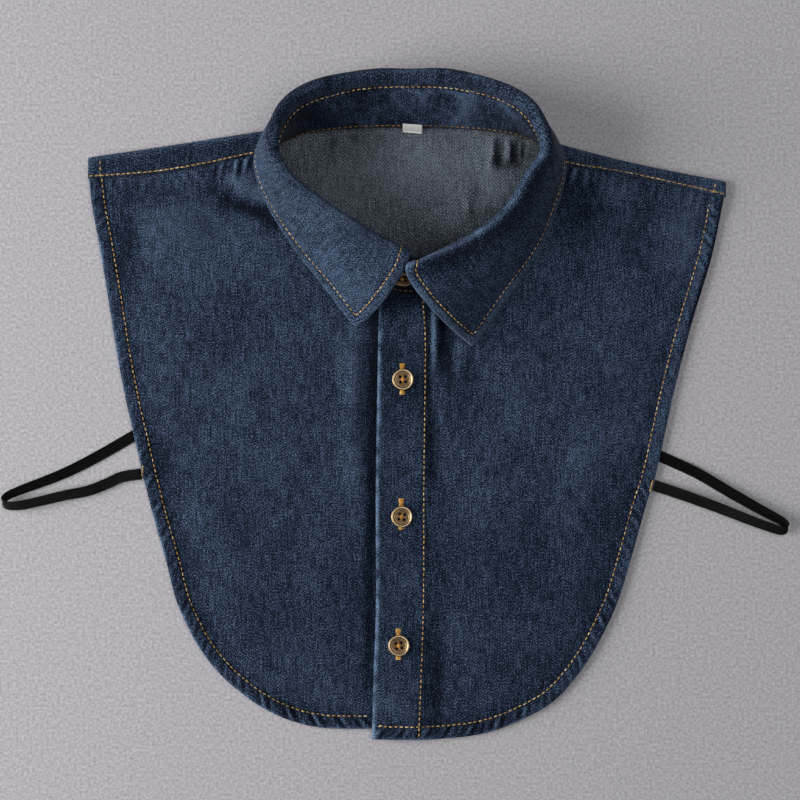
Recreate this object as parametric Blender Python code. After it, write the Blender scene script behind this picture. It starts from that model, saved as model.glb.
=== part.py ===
"""Detachable shirt collar in denim: a collar on its stand, two buttoned fronts, a back panel that wraps over
the shoulders, and an elastic loop on each side. It lies flat on its back panel.

The tables and sizes are in millimetres and degrees, and make_solid turns them into metres. +Z is up, +Y runs
towards the back of the neck and -X is the wearer's right. The origin is on the surface that it lies on."""

import bpy
import bmesh
import numpy as np
from math import acos, atan2, cos, hypot, pi, radians, sin, sqrt
from mathutils import Vector
from mathutils.geometry import delaunay_2d_cdt

MM = 0.001

# Cloth and seams
CLOTH = 1.0                 # wall of one layer of denim
SEAM_GAP = 0.3              # space left between two pieces at a seam
STAND_WALL = 2.0            # two layers and their interlining
LEAF_WALL = 1.8             # two layers, turned out
HEM_WIDTH = 7.5             # turned-up hem of the fronts
HEM_EXTRA = 0.8             # what the turned-up layers add
PLACKET_EXTRA = 0.9         # what the folded placket adds
OVERHANG = 3.5              # how far the fronts reach past the back panel
LOFT = 3.0                  # how far a front rises off the back panel between its seams
FLAT_BORDER = 4.0           # border of a front that stays down
LOFT_REACH = 36.0           # how far past that border the rise is complete
NECK_REACH = 85.0           # and how far from the neck, under the leaf
CREASE_REACH = 9.0          # how far from an edge a crease has its whole height
SHOULDER_REACH = 22.0       # how far down a front slopes from its lift at the shoulder
STEP_WIDTH = 1.2            # over which the cloth thickens at a hem or a placket
LAP_SLOPE = 14.0            # over which one front comes down off the other's button strip
LAP_START = 2.0             # how far beyond the stitching that slope begins
NECK_LIP = 0.8              # how far a panel runs on under the stand
NECK_CENTRE = (8.0, 118.0)

# Wearer's right front, from the shoulder down the side and round to the centre front
RIGHT_HEM = ((-178.4, 129.9), (-177.0, 113.0), (-173.1, 95.0), (-167.9, 65.0), (-161.0, 23.2), (-152.3, -18.6),
             (-142.4, -60.3), (-134.0, -90.5), (-128.0, -114.3), (-118.0, -136.3), (-106.0, -152.5),
             (-93.1, -164.7), (-79.2, -174.8), (-62.9, -182.2), (-43.2, -186.6), (-15.4, -187.3), (15.0, -187.3))
# Wearer's left front, from the shoulder down the side and round to the fold of the placket
LEFT_HEM = ((189.4, 119.6), (183.0, 85.8), (171.2, 44.1), (160.4, 2.3), (151.1, -39.4), (144.7, -60.3),
            (135.5, -93.5), (128.5, -116.0), (116.9, -140.4), (105.6, -156.6), (93.1, -170.2), (80.7, -178.6),
            (60.0, -187.9), (41.5, -192.3), (17.7, -194.1), (-14.2, -193.7))
# Fold of the placket and the line where its inner edge is stitched, from the neck down
PLACKET_FOLD = ((-9.4, 66.5), (-10.2, 55.0), (-11.9, -44.0), (-11.9, -116.6), (-13.1, -152.5), (-14.2, -193.7))
PLACKET_STITCH = ((14.6, 67.0), (15.2, 59.5), (16.5, 30.7), (15.7, -44.0), (15.4, -116.6), (12.8, -190.0))
BUTTON_STRIP_EDGE = 15.0    # x of the inner edge of the right front, under the placket
LOWER_HEM_TOP = -172.0      # y where the placket rises over the hem of the front under it

# Shoulders: the fold of the back panel and the seam where it meets the front, from the side to the neck
RIGHT_FOLD = ((-178.4, 143.0), (-127.0, 150.4), (-75.9, 157.9), (-62.0, 159.4))
RIGHT_SEAM = ((-178.4, 130.2), (-141.2, 133.1), (-113.4, 137.5), (-83.8, 143.9), (-69.0, 147.0))
LEFT_FOLD = ((79.0, 155.6), (94.8, 150.0), (128.8, 140.8), (160.0, 134.6), (191.1, 129.6))
LEFT_SEAM = ((82.0, 145.5), (99.5, 138.3), (128.8, 133.4), (158.1, 127.3), (190.4, 119.9))
RIGHT_SHOULDER_X = (-178.4, -71.0)
LEFT_SHOULDER_X = (86.5, 190.6)
SHOULDER_POINTS = 9
FOLD_RADIUS = 1.15          # of the middle of the wall where the back panel turns over

# Folds in the fronts: the ends of each crease, its half width, and its height, or its depth where negative
FOLD_FADE = 0.3             # share of its length over which a crease fades out at each end
FOLD_COLUMNS = ("x1", "y1", "x2", "y2", "width", "height")
RIGHT_FRONT_FOLDS = (
    (-112.0, 132.0, -76.0, 104.0, 7.0, -3.1),     # deep crease beside the leaf
    (-98.0, 136.0, -84.0, 122.0, 8.0, 1.7),       # puckered cloth above it
    (-130.0, 128.0, -121.0, 70.0, 20.0, 2.3),     # broad swell below the shoulder
    (-157.0, 128.0, -152.0, 76.0, 8.0, -1.6),     # hollow along the hem
    (-156.0, 12.0, -116.0, -18.0, 12.0, 2.0),     # soft ridge in from the side
    (-148.0, -16.0, -129.0, -50.0, 10.0, -1.7),   # hollow under it
    (-26.5, 48.0, -23.5, -60.0, 9.0, 2.2),        # long ridge beside the placket
    (-16.0, 56.0, -17.5, -56.0, 6.0, -2.6),       # trough against the placket
    (-62.0, 30.0, -84.0, -60.0, 16.0, -1.6),      # long shallow hollow in the middle
    (-40.0, -90.0, -58.0, -150.0, 13.0, 1.4),     # swell above the hem
)
LEFT_FRONT_FOLDS = (
    (22.5, 60.0, 21.8, 14.0, 4.5, 1.8),           # narrow ridge beside the placket stitching
    (30.0, 54.0, 28.0, 12.0, 6.0, -2.2),          # trough beside that
    (38.0, 34.0, 22.0, -26.0, 6.5, 2.0),          # ridge that slants back to the placket
    (21.5, 4.0, 21.0, -50.0, 6.0, -2.0),          # trough under it
    (24.0, -120.0, 21.5, -184.0, 7.0, -2.1),      # lower trough beside the placket
    (32.0, -144.0, 25.0, -178.0, 6.0, 1.3),       # short ridge beside it
    (128.0, 124.0, 151.0, 76.0, 12.0, -2.2),      # long hollow below the shoulder
    (77.0, 76.0, 99.0, 48.0, 11.0, -2.0),         # hollow past the leaf
    (106.0, 118.0, 118.0, 102.0, 9.0, -1.6),      # dimple under the shoulder
    (100.0, 40.0, 112.0, -60.0, 18.0, 1.6),       # broad swell down the side
    (60.0, -80.0, 52.0, -160.0, 15.0, -1.3),      # shallow hollow above the hem
)

# Sections of the collar, from the wearer's right end round the back of the neck to the left end: where the
# stand is sewn on, which way it faces, how far it leans out, its height, the leaf's rise above it, which way
# the leaf falls, how far out its edge comes to lie from the top of the fold, and how high
COLLAR_COLUMNS = ("seam_x", "seam_y", "seam_z", "stand_turn", "lean", "height", "rise", "leaf_turn", "out", "edge_z")
COLLAR_SECTIONS = (
    (16.0, 67.8, 3.6, 274.0, -40.0, 24.0, 2.0, 234.0, 52.0, 5.6),       # end under the other, stand only
    (6.6, 68.2, 3.6, 269.0, -41.0, 25.0, 2.0, 234.2, 52.2, 5.6),        # right front edge of the leaf
    (-19.9, 77.4, 3.6, 245.0, -43.0, 26.5, 2.5, 228.0, 42.5, 5.2),
    (-39.6, 93.1, 3.6, 232.0, -32.7, 28.0, 3.0, 222.6, 34.7, 5.2),
    (-55.8, 109.9, 3.6, 221.0, -22.8, 29.0, 3.5, 215.0, 26.6, 5.2),
    (-66.8, 124.3, 4.0, 207.0, -15.2, 30.0, 4.0, 202.0, 19.8, 5.4),
    (-71.4, 139.3, 4.6, 190.0, -9.0, 30.0, 4.0, 190.0, 15.8, 5.6),      # at the shoulder
    (-68.5, 149.0, 4.6, 172.0, -3.0, 30.0, 4.0, 172.0, 12.4, 5.4),
    (-61.2, 153.6, 3.4, 146.0, 8.0, 30.0, 4.0, 146.0, 6.0, 4.8),        # corner of the neck
    (-47.0, 157.8, 2.3, 115.0, 27.5, 30.0, 5.0, 115.0, -2.2, 1.4),
    (-22.0, 160.0, 2.1, 100.0, 41.0, 30.0, 6.0, 100.0, -9.6, 1.1),
    (5.0, 160.4, 2.1, 90.0, 46.0, 30.0, 6.0, 90.0, -15.5, 1.1),         # middle of the back
    (33.0, 159.8, 2.1, 80.0, 44.0, 30.0, 6.0, 80.0, -11.5, 1.1),
    (60.0, 157.8, 2.3, 66.0, 29.0, 30.0, 5.0, 66.0, -2.8, 1.4),
    (76.0, 153.8, 3.4, 38.0, 8.0, 30.0, 4.0, 38.0, 6.0, 4.8),           # other corner of the neck
    (83.2, 148.6, 4.6, 12.0, -4.0, 30.0, 4.0, 12.0, 12.2, 5.4),
    (86.9, 140.4, 4.6, -8.0, -10.0, 30.0, 4.0, -10.0, 16.4, 5.6),      # at the shoulder
    (84.2, 127.2, 4.0, -25.0, -18.2, 30.0, 4.0, -36.0, 24.0, 5.4),
    (74.9, 107.0, 3.6, -36.0, -23.2, 29.0, 3.5, -47.0, 30.1, 5.2),
    (61.6, 89.1, 3.6, -48.0, -31.3, 28.0, 3.0, -53.7, 36.2, 5.2),
    (39.6, 73.4, 4.2, -66.0, -38.8, 26.0, 2.5, -55.8, 46.2, 5.4),
    (10.1, 65.2, 5.9, -88.0, -33.0, 24.0, 2.0, -54.0, 57.8, 5.8),       # left front edge of the leaf
    (-8.5, 67.4, 5.9, -100.0, -36.0, 19.0, 2.0, -54.0, 57.8, 5.8),      # end over the other, stand only
)
ROLL_RADIUS = 3.0           # of the middle of the leaf's wall at the fold
LEAF_BELLY = 1.4            # how far the leaf bows out between its fold and its edge
RIGHT_EDGE_BOW = 0.6        # how far its front edges bow out past its end sections, in rows of the table
LEFT_EDGE_BOW = 0.57
RIGHT_BOW_SKEW = 0.8        # the smaller, the nearer to the fold an edge bows most
LEFT_BOW_SKEW = 0.55
FOLD_SHARE = 0.08           # share of the way down the leaf that the fold itself takes
BOW_ROWS = 2.0              # rows over which the bow dies away
FRONT_LIFT = 3.8            # how much more the leaf bows up at its front edges, over the button beneath
SECTIONS_PER_SPAN = 3       # rows of the mesh for each row of the table
BOW_STEPS = 40              # steps between them in which a bowed place is sought
STAND_POINTS = 4            # points up the stand, round the fold, and down the leaf
ARC_POINTS = 7
FALL_POINTS = 6

# Buttons, on the placket and on the end of the stand
BUTTON_RADIUS = 6.2
BUTTON_PROFILE = ((0.0, 0.0), (4.6, 0.0), (5.9, 0.6), (6.2, 1.4), (5.9, 2.2), (5.2, 2.5), (4.4, 2.2), (3.9, 1.6),
                  (0.0, 1.6))
BUTTON_SIDES = 20
BUTTON_HOLE_RADIUS = 0.65
BUTTON_HOLE_SPACING = 2.4
PLACKET_BUTTONS = (("button_top", 3.7, 14.2), ("button_middle", 3.1, -65.1), ("button_bottom", 1.4, -139.5))
COLLAR_BUTTON_X = 3.2       # on the end of the stand that lies on top
COLLAR_BUTTON_UP = 15.0     # how far up the stand
COLLAR_BUTTON_GAP = 0.7     # shank of thread between it and the curved stand

# Elastic loops: the middle of the tape from the back panel round to the hem of the front, and how far the tape
# leans over from standing on its edge
ELASTIC_WIDTH = 6.4
ELASTIC_WALL = 1.0
ELASTIC_COLUMNS = ("x", "y", "z", "tilt")
ELASTIC_RIGHT = (
    (-150.4, -17.2, 0.6, 90.0), (-162.1, -24.1, 0.6, 89.0), (-175.2, -31.5, 0.9, 84.0),
    (-189.7, -38.9, 1.6, 74.0), (-203.5, -44.6, 2.2, 64.0), (-217.0, -49.6, 2.8, 56.0),
    (-224.6, -53.0, 3.6, 52.0), (-227.2, -56.0, 4.6, 52.0), (-224.6, -58.6, 5.5, 54.0),
    (-216.6, -58.4, 6.2, 60.0), (-204.8, -55.9, 5.6, 64.0), (-191.7, -52.8, 4.4, 70.0),
    (-178.4, -50.2, 3.2, 76.0), (-167.0, -45.8, 2.3, 82.0), (-159.2, -42.3, 2.0, 88.0), (-147.7, -40.4, 2.2, 90.0),
)
ELASTIC_LEFT = (
    (151.0, -29.3, 0.6, 90.0), (161.0, -33.9, 0.6, 89.0), (174.3, -40.1, 0.9, 84.0),
    (191.7, -50.3, 1.6, 76.0), (206.2, -58.6, 2.2, 68.0), (217.6, -64.8, 2.8, 60.0),
    (223.6, -68.2, 3.4, 55.0), (225.8, -71.0, 4.4, 52.0), (222.8, -73.2, 5.3, 54.0),
    (214.0, -70.6, 5.8, 60.0), (202.0, -66.2, 5.2, 66.0), (185.3, -59.7, 4.2, 74.0),
    (170.2, -54.2, 3.2, 80.0), (158.6, -50.2, 2.3, 86.0), (150.2, -47.3, 2.2, 90.0),
)
ELASTIC_PER_SPAN = 2
ELASTIC_UPRIGHT = 0.9       # how far the tape's width is turned square to its run

# Neck label: its section across the back neck seam, in y and z, and its ends in x
LABEL_SECTION = ((156.6, 1.85), (158.0, 1.9), (159.0, 3.3), (161.4, 5.7))
LABEL_ENDS = (3.6, 14.9)
LABEL_SKEW = 0.1            # how much its far end drops back, in y for each x
LABEL_WALL = 1.0

STRIP_POINTS = 9            # points down the edge of the button strip
PANEL_STEP = 11.0           # space between the points inside a front
BACK_STEP = 45.0            # space between the points inside the flat back
LINE_SPACE = 2.6            # least space between the points along creases, hems and stitching
EDGE_STEP = 9.0             # space between the points along its edges


def smooth_rows(rows, per_span):
    """Rows of any number of columns, joined by a smooth curve that passes through each."""
    rows = np.array(rows, float)
    slopes = np.gradient(rows, axis=0)
    result = []
    for start, end, leave, arrive in zip(rows[:-1], rows[1:], slopes[:-1], slopes[1:]):
        for step in range(per_span):
            t = step / per_span
            result.append(
                (2 * t**3 - 3 * t**2 + 1) * start
                + (t**3 - 2 * t**2 + t) * leave
                + (3 * t**2 - 2 * t**3) * end
                + (t**3 - t**2) * arrive
            )
    result.append(rows[-1])
    return np.array(result)


def even_line(points, step):
    """Points about one step apart along a smooth curve through the given ones."""
    fine = smooth_rows(points, 12)
    lengths = np.r_[0.0, np.cumsum(np.linalg.norm(np.diff(fine, axis=0), axis=1))]
    count = max(2, int(round(lengths[-1] / step)) + 1)
    places = np.linspace(0.0, lengths[-1], count)
    return np.column_stack([np.interp(places, lengths, column) for column in fine.T])


def y_at(points, x):
    """Height in y of a curve that runs along x."""
    fine = smooth_rows(points, 8)
    fine = fine[np.argsort(fine[:, 0])]
    return np.interp(x, fine[:, 0], fine[:, 1])


def x_at(points, y):
    """Place in x of a curve that runs along y."""
    fine = smooth_rows(points, 8)
    fine = fine[np.argsort(fine[:, 1])]
    return np.interp(y, fine[:, 1], fine[:, 0])


def ease(value):
    """0 up to 0, 1 from 1 on, with a smooth step between."""
    value = np.clip(value, 0.0, 1.0)
    return value * value * (3.0 - 2.0 * value)


def distance_to_line(points, line):
    """Distance of each point from a polyline."""
    points = np.asarray(points, float)
    nearest = np.full(len(points), np.inf)
    for start, end in zip(line[:-1], line[1:]):
        run = end - start
        along = np.clip(((points - start) @ run) / max(run @ run, 1e-9), 0.0, 1.0)
        away = np.linalg.norm(points - (start + along[:, None] * run), axis=1)
        nearest = np.minimum(nearest, away)
    return nearest


def inside(points, outline):
    """Which points lie inside a closed outline."""
    points = np.asarray(points, float)
    found = np.zeros(len(points), bool)
    for (x1, y1), (x2, y2) in zip(outline, np.roll(outline, -1, axis=0)):
        crosses = (y1 > points[:, 1]) != (y2 > points[:, 1])
        with np.errstate(divide="ignore", invalid="ignore"):
            at = (x2 - x1) * (points[:, 1] - y1) / (y2 - y1) + x1
        found ^= crosses & (points[:, 0] < at)
    return found


def fold_height(points, folds):
    """Sum of the creases at each point, each one fading at its sides and ends."""
    height = np.zeros(len(points))
    for row in folds:
        fold = dict(zip(FOLD_COLUMNS, row))
        run = np.array((fold["x2"] - fold["x1"], fold["y2"] - fold["y1"]))
        length = hypot(*run)
        away = points - (fold["x1"], fold["y1"])
        along = (away @ run) / length**2
        across = (away[:, 1] * run[0] - away[:, 0] * run[1]) / length
        fade = ease(along / FOLD_FADE) * ease((1.0 - along) / FOLD_FADE)
        height += fold["height"] * fade * np.exp(-((across / fold["width"]) ** 2))
    return height


def material(name, colour, roughness, metallic=0.0):
    """Principled material in one colour."""
    made = bpy.data.materials.new(name)
    made.use_nodes = True
    shader = made.node_tree.nodes["Principled BSDF"]
    shader.inputs["Base Color"].default_value = (*colour, 1.0)
    shader.inputs["Roughness"].default_value = roughness
    shader.inputs["Metallic"].default_value = metallic
    made.diffuse_color = (*colour, 1.0)
    return made


def make_solid(name, points, faces, finish):
    """Object from points in millimetres, with its faces turned out and its round parts shaded smooth."""
    mesh = bpy.data.meshes.new(name)
    mesh.from_pydata([tuple(float(value) * MM for value in point) for point in points], [], faces)
    shape = bmesh.new()
    shape.from_mesh(mesh)
    bmesh.ops.recalc_face_normals(shape, faces=shape.faces)
    if shape.calc_volume(signed=True) < 0.0:
        bmesh.ops.reverse_faces(shape, faces=shape.faces)
    shape.to_mesh(mesh)
    shape.free()
    mesh.materials.append(finish)
    mesh.shade_smooth()
    mesh.set_sharp_from_angle(angle=radians(40))
    made = bpy.data.objects.new(name, mesh)
    bpy.context.scene.collection.objects.link(made)
    return made


def sheet_normals(grid):
    """Unit normals of a grid of points."""
    across = np.gradient(grid, axis=0)
    along = np.gradient(grid, axis=1)
    normals = np.cross(across, along)
    return normals / np.linalg.norm(normals, axis=2)[..., None]


def thick_grid(name, grid, wall, finish):
    """Wall of even thickness whose middle is a grid of points."""
    rows, columns, _ = grid.shape
    offset = sheet_normals(grid) * wall / 2
    points = np.concatenate(((grid + offset).reshape(-1, 3), (grid - offset).reshape(-1, 3)))
    below = rows * columns
    faces = []
    for row in range(rows - 1):
        for column in range(columns - 1):
            a = row * columns + column
            quad = (a, a + 1, a + columns + 1, a + columns)
            faces.append(quad)
            faces.append(tuple(below + corner for corner in reversed(quad)))
    rim = [column for column in range(columns)]
    rim += [row * columns + columns - 1 for row in range(1, rows)]
    rim += [(rows - 1) * columns + column for column in range(columns - 2, -1, -1)]
    rim += [row * columns for row in range(rows - 2, 0, -1)]
    for first, second in zip(rim, rim[1:] + rim[:1]):
        faces.append((first, first + below, second + below, second))
    return make_solid(name, points, faces, finish)


def spaced(points, keep, least):
    """The points that lie at least so far from those kept already and from each other."""
    kept = list(np.asarray(keep, float))
    chosen = []
    for point in points:
        if min(np.hypot(*(np.array(kept) - point).T)) >= least:
            kept.append(point)
            chosen.append(point)
    return chosen


def panel_points(outline, lines, step):
    """Points of a flat panel: its outline, the lines that it has to follow, and an even spread inside."""
    low = outline.min(axis=0)
    high = outline.max(axis=0)
    spread = []
    for row, y in enumerate(np.arange(low[1], high[1], step * 0.87)):
        for x in np.arange(low[0] + (row % 2) * step / 2, high[0], step):
            spread.append((x, y))
    rim = np.vstack((outline, outline[:1]))
    kept = list(outline)
    for group, space in [(line, LINE_SPACE) for line in lines] + [(np.array(spread), 0.45 * step)]:
        group = group[inside(group, outline)]
        if len(group):
            kept += spaced(group[distance_to_line(group, rim) > space], kept, space)
    return np.array(kept)


def crease_edges(points, creases):
    """Points with those of the creases added, and the edges along them. A crease shares the outline's points."""
    points = list(points)
    edges = []
    for crease in creases:
        numbers = []
        for place in crease:
            away = np.hypot(*(np.array(points) - place).T)
            if away.min() > 0.05:
                points.append(place)
                numbers.append(len(points) - 1)
            else:
                numbers.append(int(away.argmin()))
        edges += list(zip(numbers[:-1], numbers[1:]))
    return np.array(points), edges


def panel_solid(name, outline, lines, creases, step, underside, wall, bend, finish):
    """Panel cut to an outline: its underside and wall are functions of the flat points, and bend turns flat
    points, with a height above the cloth's lower face, into places in space."""
    count = len(outline)
    flat, edges = crease_edges(panel_points(outline, lines, step), creases)
    result = delaunay_2d_cdt([Vector(point) for point in flat], edges, [list(range(count))], 1, 0.0001)
    flat = np.array([tuple(point) for point in result[0]])
    triangles = [tuple(face) for face in result[2]]
    low = bend(flat, underside(flat), np.zeros(len(flat)))
    high = bend(flat, underside(flat), wall(flat))
    shift = len(flat)
    edges = {}
    faces = []
    for triangle in triangles:
        faces.append(tuple(shift + corner for corner in triangle))
        faces.append(tuple(reversed(triangle)))
        for first, second in zip(triangle, triangle[1:] + triangle[:1]):
            edges[(first, second)] = True
    for first, second in edges:
        if (second, first) not in edges:
            faces.append((first, second, shift + second, shift + first))
    return make_solid(name, np.concatenate((low, high)), faces, finish)


def upright(flat, underside, above):
    """Cloth that lies where it was cut."""
    return np.column_stack((flat, underside + above))


def neck_line(first, last):
    """Where the stand is sewn on, between two rows of the collar's table."""
    return np.array([row[:2] for row in COLLAR_SECTIONS[first:last + 1]])


def inward(line, amount):
    """A neck line moved towards the middle of the neck."""
    away = line - np.array(NECK_CENTRE)
    return line - away / np.linalg.norm(away, axis=1)[:, None] * amount


def joined(*pieces):
    """Closed outline from several stretches, with shared corners taken once."""
    points = []
    for piece in pieces:
        for point in piece:
            if not points or np.hypot(*(np.array(points[-1]) - point)) > 0.5:
                points.append(tuple(point))
    if np.hypot(*(np.array(points[0]) - points[-1])) < 0.5:
        points.pop()
    return np.array(points)


def fold_lines(folds):
    """Lines along the top and both feet of each crease."""
    lines = []
    for row in folds:
        fold = dict(zip(FOLD_COLUMNS, row))
        start = np.array((fold["x1"], fold["y1"]))
        run = np.array((fold["x2"], fold["y2"])) - start
        side = np.array((-run[1], run[0])) / hypot(*run) * fold["width"]
        count = max(4, int(hypot(*run) / PANEL_STEP) + 1)
        for shift in (0.0, 1.0, -1.0):
            lines.append(np.array([start + run * t + side * shift for t in np.linspace(0.06, 0.94, count)]))
    return lines


def hem_step(flat, hem):
    """1 over the turned-up hem, 0 past it."""
    away = distance_to_line(flat, smooth_rows(hem, 8))
    return 1.0 - ease((away - HEM_WIDTH) / STEP_WIDTH + 0.4)


def hem_lines(hem):
    """Two lines just inside and just past the inner edge of the hem."""
    line = even_line(hem, EDGE_STEP)
    run = np.gradient(line, axis=0)
    side = np.column_stack((-run[:, 1], run[:, 0])) / np.linalg.norm(run, axis=1)[:, None]
    side *= -np.sign((line * side).sum(axis=1))[:, None]
    return [line + side * (HEM_WIDTH - 1.0), line + side * (HEM_WIDTH + STEP_WIDTH)]


def shoulder_seam(seam, ends):
    """Edge of a front along the shoulder, from one end to the other."""
    places = np.linspace(*ends, SHOULDER_POINTS)
    return np.column_stack((places, y_at(seam, places) - SEAM_GAP))


def right_front(finish):
    """Front that lies underneath, out to the edge of its button strip."""
    neck = inward(smooth_rows(neck_line(0, 6), 3), NECK_LIP)
    neck = neck[neck[:, 0] < BUTTON_STRIP_EDGE - 1.0]
    seam = shoulder_seam(RIGHT_SEAM, RIGHT_SHOULDER_X)[::-1]
    hem = even_line(RIGHT_HEM, EDGE_STEP)
    strip = np.array([(BUTTON_STRIP_EDGE, y) for y in np.linspace(RIGHT_HEM[-1][1], neck[0, 1], STRIP_POINTS)])
    outline = joined(hem, strip, neck, seam)
    rim = np.vstack((outline, outline[:1]))

    def underside(flat):
        from_rim = distance_to_line(flat, rim)
        lift = LOFT * ease((from_rim - FLAT_BORDER) / LOFT_REACH)
        lift *= ease(distance_to_line(flat, neck) / NECK_REACH)
        lift += fold_height(flat, RIGHT_FRONT_FOLDS) * ease(from_rim / CREASE_REACH)
        shoulder = 1.0 - ease((y_at(RIGHT_SEAM, flat[:, 0]) - flat[:, 1]) / SHOULDER_REACH)
        strip_room = ease((x_at(PLACKET_FOLD, flat[:, 1]) - LAP_START - flat[:, 0]) / LAP_SLOPE)
        return CLOTH + SEAM_GAP + np.maximum(lift * strip_room, 0.0) + FOLD_RADIUS * shoulder

    def wall(flat):
        return CLOTH + HEM_EXTRA * hem_step(flat, RIGHT_HEM)

    fold = even_line(PLACKET_FOLD, EDGE_STEP)
    lines = hem_lines(RIGHT_HEM) + [fold - (2.0, 0.0), fold - (8.0, 0.0)] + fold_lines(RIGHT_FRONT_FOLDS)
    return panel_solid("right_front", outline, lines, [], PANEL_STEP, underside, wall, upright, finish)


def left_front(finish):
    """Front that lies on top, with its folded placket over the other front's button strip."""
    neck = inward(smooth_rows(neck_line(16, 22), 3), NECK_LIP)[::-1]
    seam = shoulder_seam(LEFT_SEAM, LEFT_SHOULDER_X)
    hem = even_line(LEFT_HEM, EDGE_STEP)
    fold = even_line(PLACKET_FOLD, 24.0)[::-1]
    neck = neck[neck[:, 0] > fold[-1, 0]]
    outline = joined(hem, fold, neck, seam)
    rim = np.vstack((outline, outline[:1]))

    def past_placket(flat):
        return flat[:, 0] - x_at(PLACKET_STITCH, flat[:, 1])

    def underside(flat):
        beyond = past_placket(flat)
        from_rim = distance_to_line(flat, rim)
        free = ease((beyond - 1.0) / 5.0)
        lift = LOFT * ease((np.minimum(from_rim, beyond) - FLAT_BORDER) / LOFT_REACH)
        lift *= ease(distance_to_line(flat, neck) / NECK_REACH)
        lift += fold_height(flat, LEFT_FRONT_FOLDS) * ease(from_rim / CREASE_REACH)
        shoulder = 1.0 - ease((y_at(LEFT_SEAM, flat[:, 0]) - flat[:, 1]) / SHOULDER_REACH)
        over = CLOTH + SEAM_GAP + HEM_EXTRA * (1.0 - ease((flat[:, 1] - LOWER_HEM_TOP) / STEP_WIDTH / 10.0))
        over *= 1.0 - ease((beyond - LAP_START) / LAP_SLOPE)
        return CLOTH + SEAM_GAP + np.maximum(over + lift * free, 0.0) + FOLD_RADIUS * shoulder

    def wall(flat):
        placket = 1.0 - ease((past_placket(flat) - SEAM_GAP) / STEP_WIDTH)
        return CLOTH + np.maximum(HEM_EXTRA * hem_step(flat, LEFT_HEM), PLACKET_EXTRA * placket)

    stitch = even_line(PLACKET_STITCH, 14.0)
    lines = hem_lines(LEFT_HEM) + [stitch, stitch + (2.8, 0.0), stitch + (9.0, 0.0)] + fold_lines(LEFT_FRONT_FOLDS)
    return panel_solid("left_front", outline, lines, [], PANEL_STEP, underside, wall, upright, finish)


def back_panel(finish):
    """Back, cut with a strip past each shoulder fold, which turns over onto the front."""
    turn = pi * FOLD_RADIUS

    def inset(hem, sign):
        line = even_line(hem, 14.0)
        run = np.gradient(line, axis=0)
        side = np.column_stack((run[:, 1], -run[:, 0])) / np.linalg.norm(run, axis=1)[:, None] * -sign
        return line + side * (OVERHANG * ease((128.0 - line[:, 1]) / 40.0))[:, None]

    def strip_top(fold, seam, x):
        return y_at(fold, x) + turn + y_at(fold, x) - y_at(seam, x)

    def shoulder(fold, seam, ends):
        places = np.linspace(*ends, SHOULDER_POINTS)
        top = np.column_stack((places, strip_top(fold, seam, places)))
        turned = [np.column_stack((places, y_at(fold, places) + share * turn)) for share in np.linspace(0.0, 1.0, 6)]
        return top, turned

    right_side = inset(RIGHT_HEM[:-1], 1.0)
    left_side = inset(LEFT_HEM[:-1], -1.0)
    right_strip, right_turn = shoulder(RIGHT_FOLD, RIGHT_SEAM, RIGHT_SHOULDER_X)
    left_strip, left_turn = shoulder(LEFT_FOLD, LEFT_SEAM, LEFT_SHOULDER_X)
    back_neck = inward(smooth_rows(neck_line(9, 13), 2), -NECK_LIP)
    outline = joined(
        right_side[::-1], [line[0] for line in right_turn], right_strip, [line[-1] for line in right_turn[::-1]],
        [(-60.0, 157.4)], back_neck, [(75.0, 155.9)],
        [line[0] for line in left_turn], left_strip, [line[-1] for line in left_turn[::-1]], left_side,
    )
    creases = right_turn + left_turn

    def fold_y(flat):
        return np.where(flat[:, 0] < 0.0, y_at(RIGHT_FOLD, flat[:, 0]), y_at(LEFT_FOLD, flat[:, 0]))

    def bend(flat, underside, above):
        past = flat[:, 1] - fold_y(flat)
        past = np.where((flat[:, 0] > -62.0) & (flat[:, 0] < 76.0), -1.0, past)
        depth = FOLD_RADIUS + CLOTH / 2 - (underside + above)
        angle = np.clip(past / FOLD_RADIUS, 0.0, pi)
        run = np.minimum(past, 0.0) - np.maximum(past - turn, 0.0) + depth * np.sin(angle)
        rise = FOLD_RADIUS + CLOTH / 2 - depth * np.cos(angle)
        return np.column_stack((flat[:, 0], flat[:, 1] - past + run, rise))

    def flat_on_floor(flat):
        return np.zeros(len(flat))

    def wall(flat):
        return np.full(len(flat), CLOTH)

    return panel_solid("back_panel", outline, [], creases, BACK_STEP, flat_on_floor, wall, bend, finish)


def compass(turn):
    """Level unit vector that points to a heading."""
    return np.array((cos(radians(turn)), sin(radians(turn)), 0.0))


def stand_section(row):
    """Middle of the stand's wall, from its seam up to where the leaf is sewn in."""
    section = dict(zip(COLLAR_COLUMNS, row))
    lean = radians(section["lean"])
    up = compass(section["stand_turn"]) * sin(lean) + np.array((0.0, 0.0, cos(lean)))
    foot = np.array((section["seam_x"], section["seam_y"], section["seam_z"]))
    return [foot + up * share * section["height"] for share in np.linspace(0.0, 1.0, STAND_POINTS)]


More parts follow.
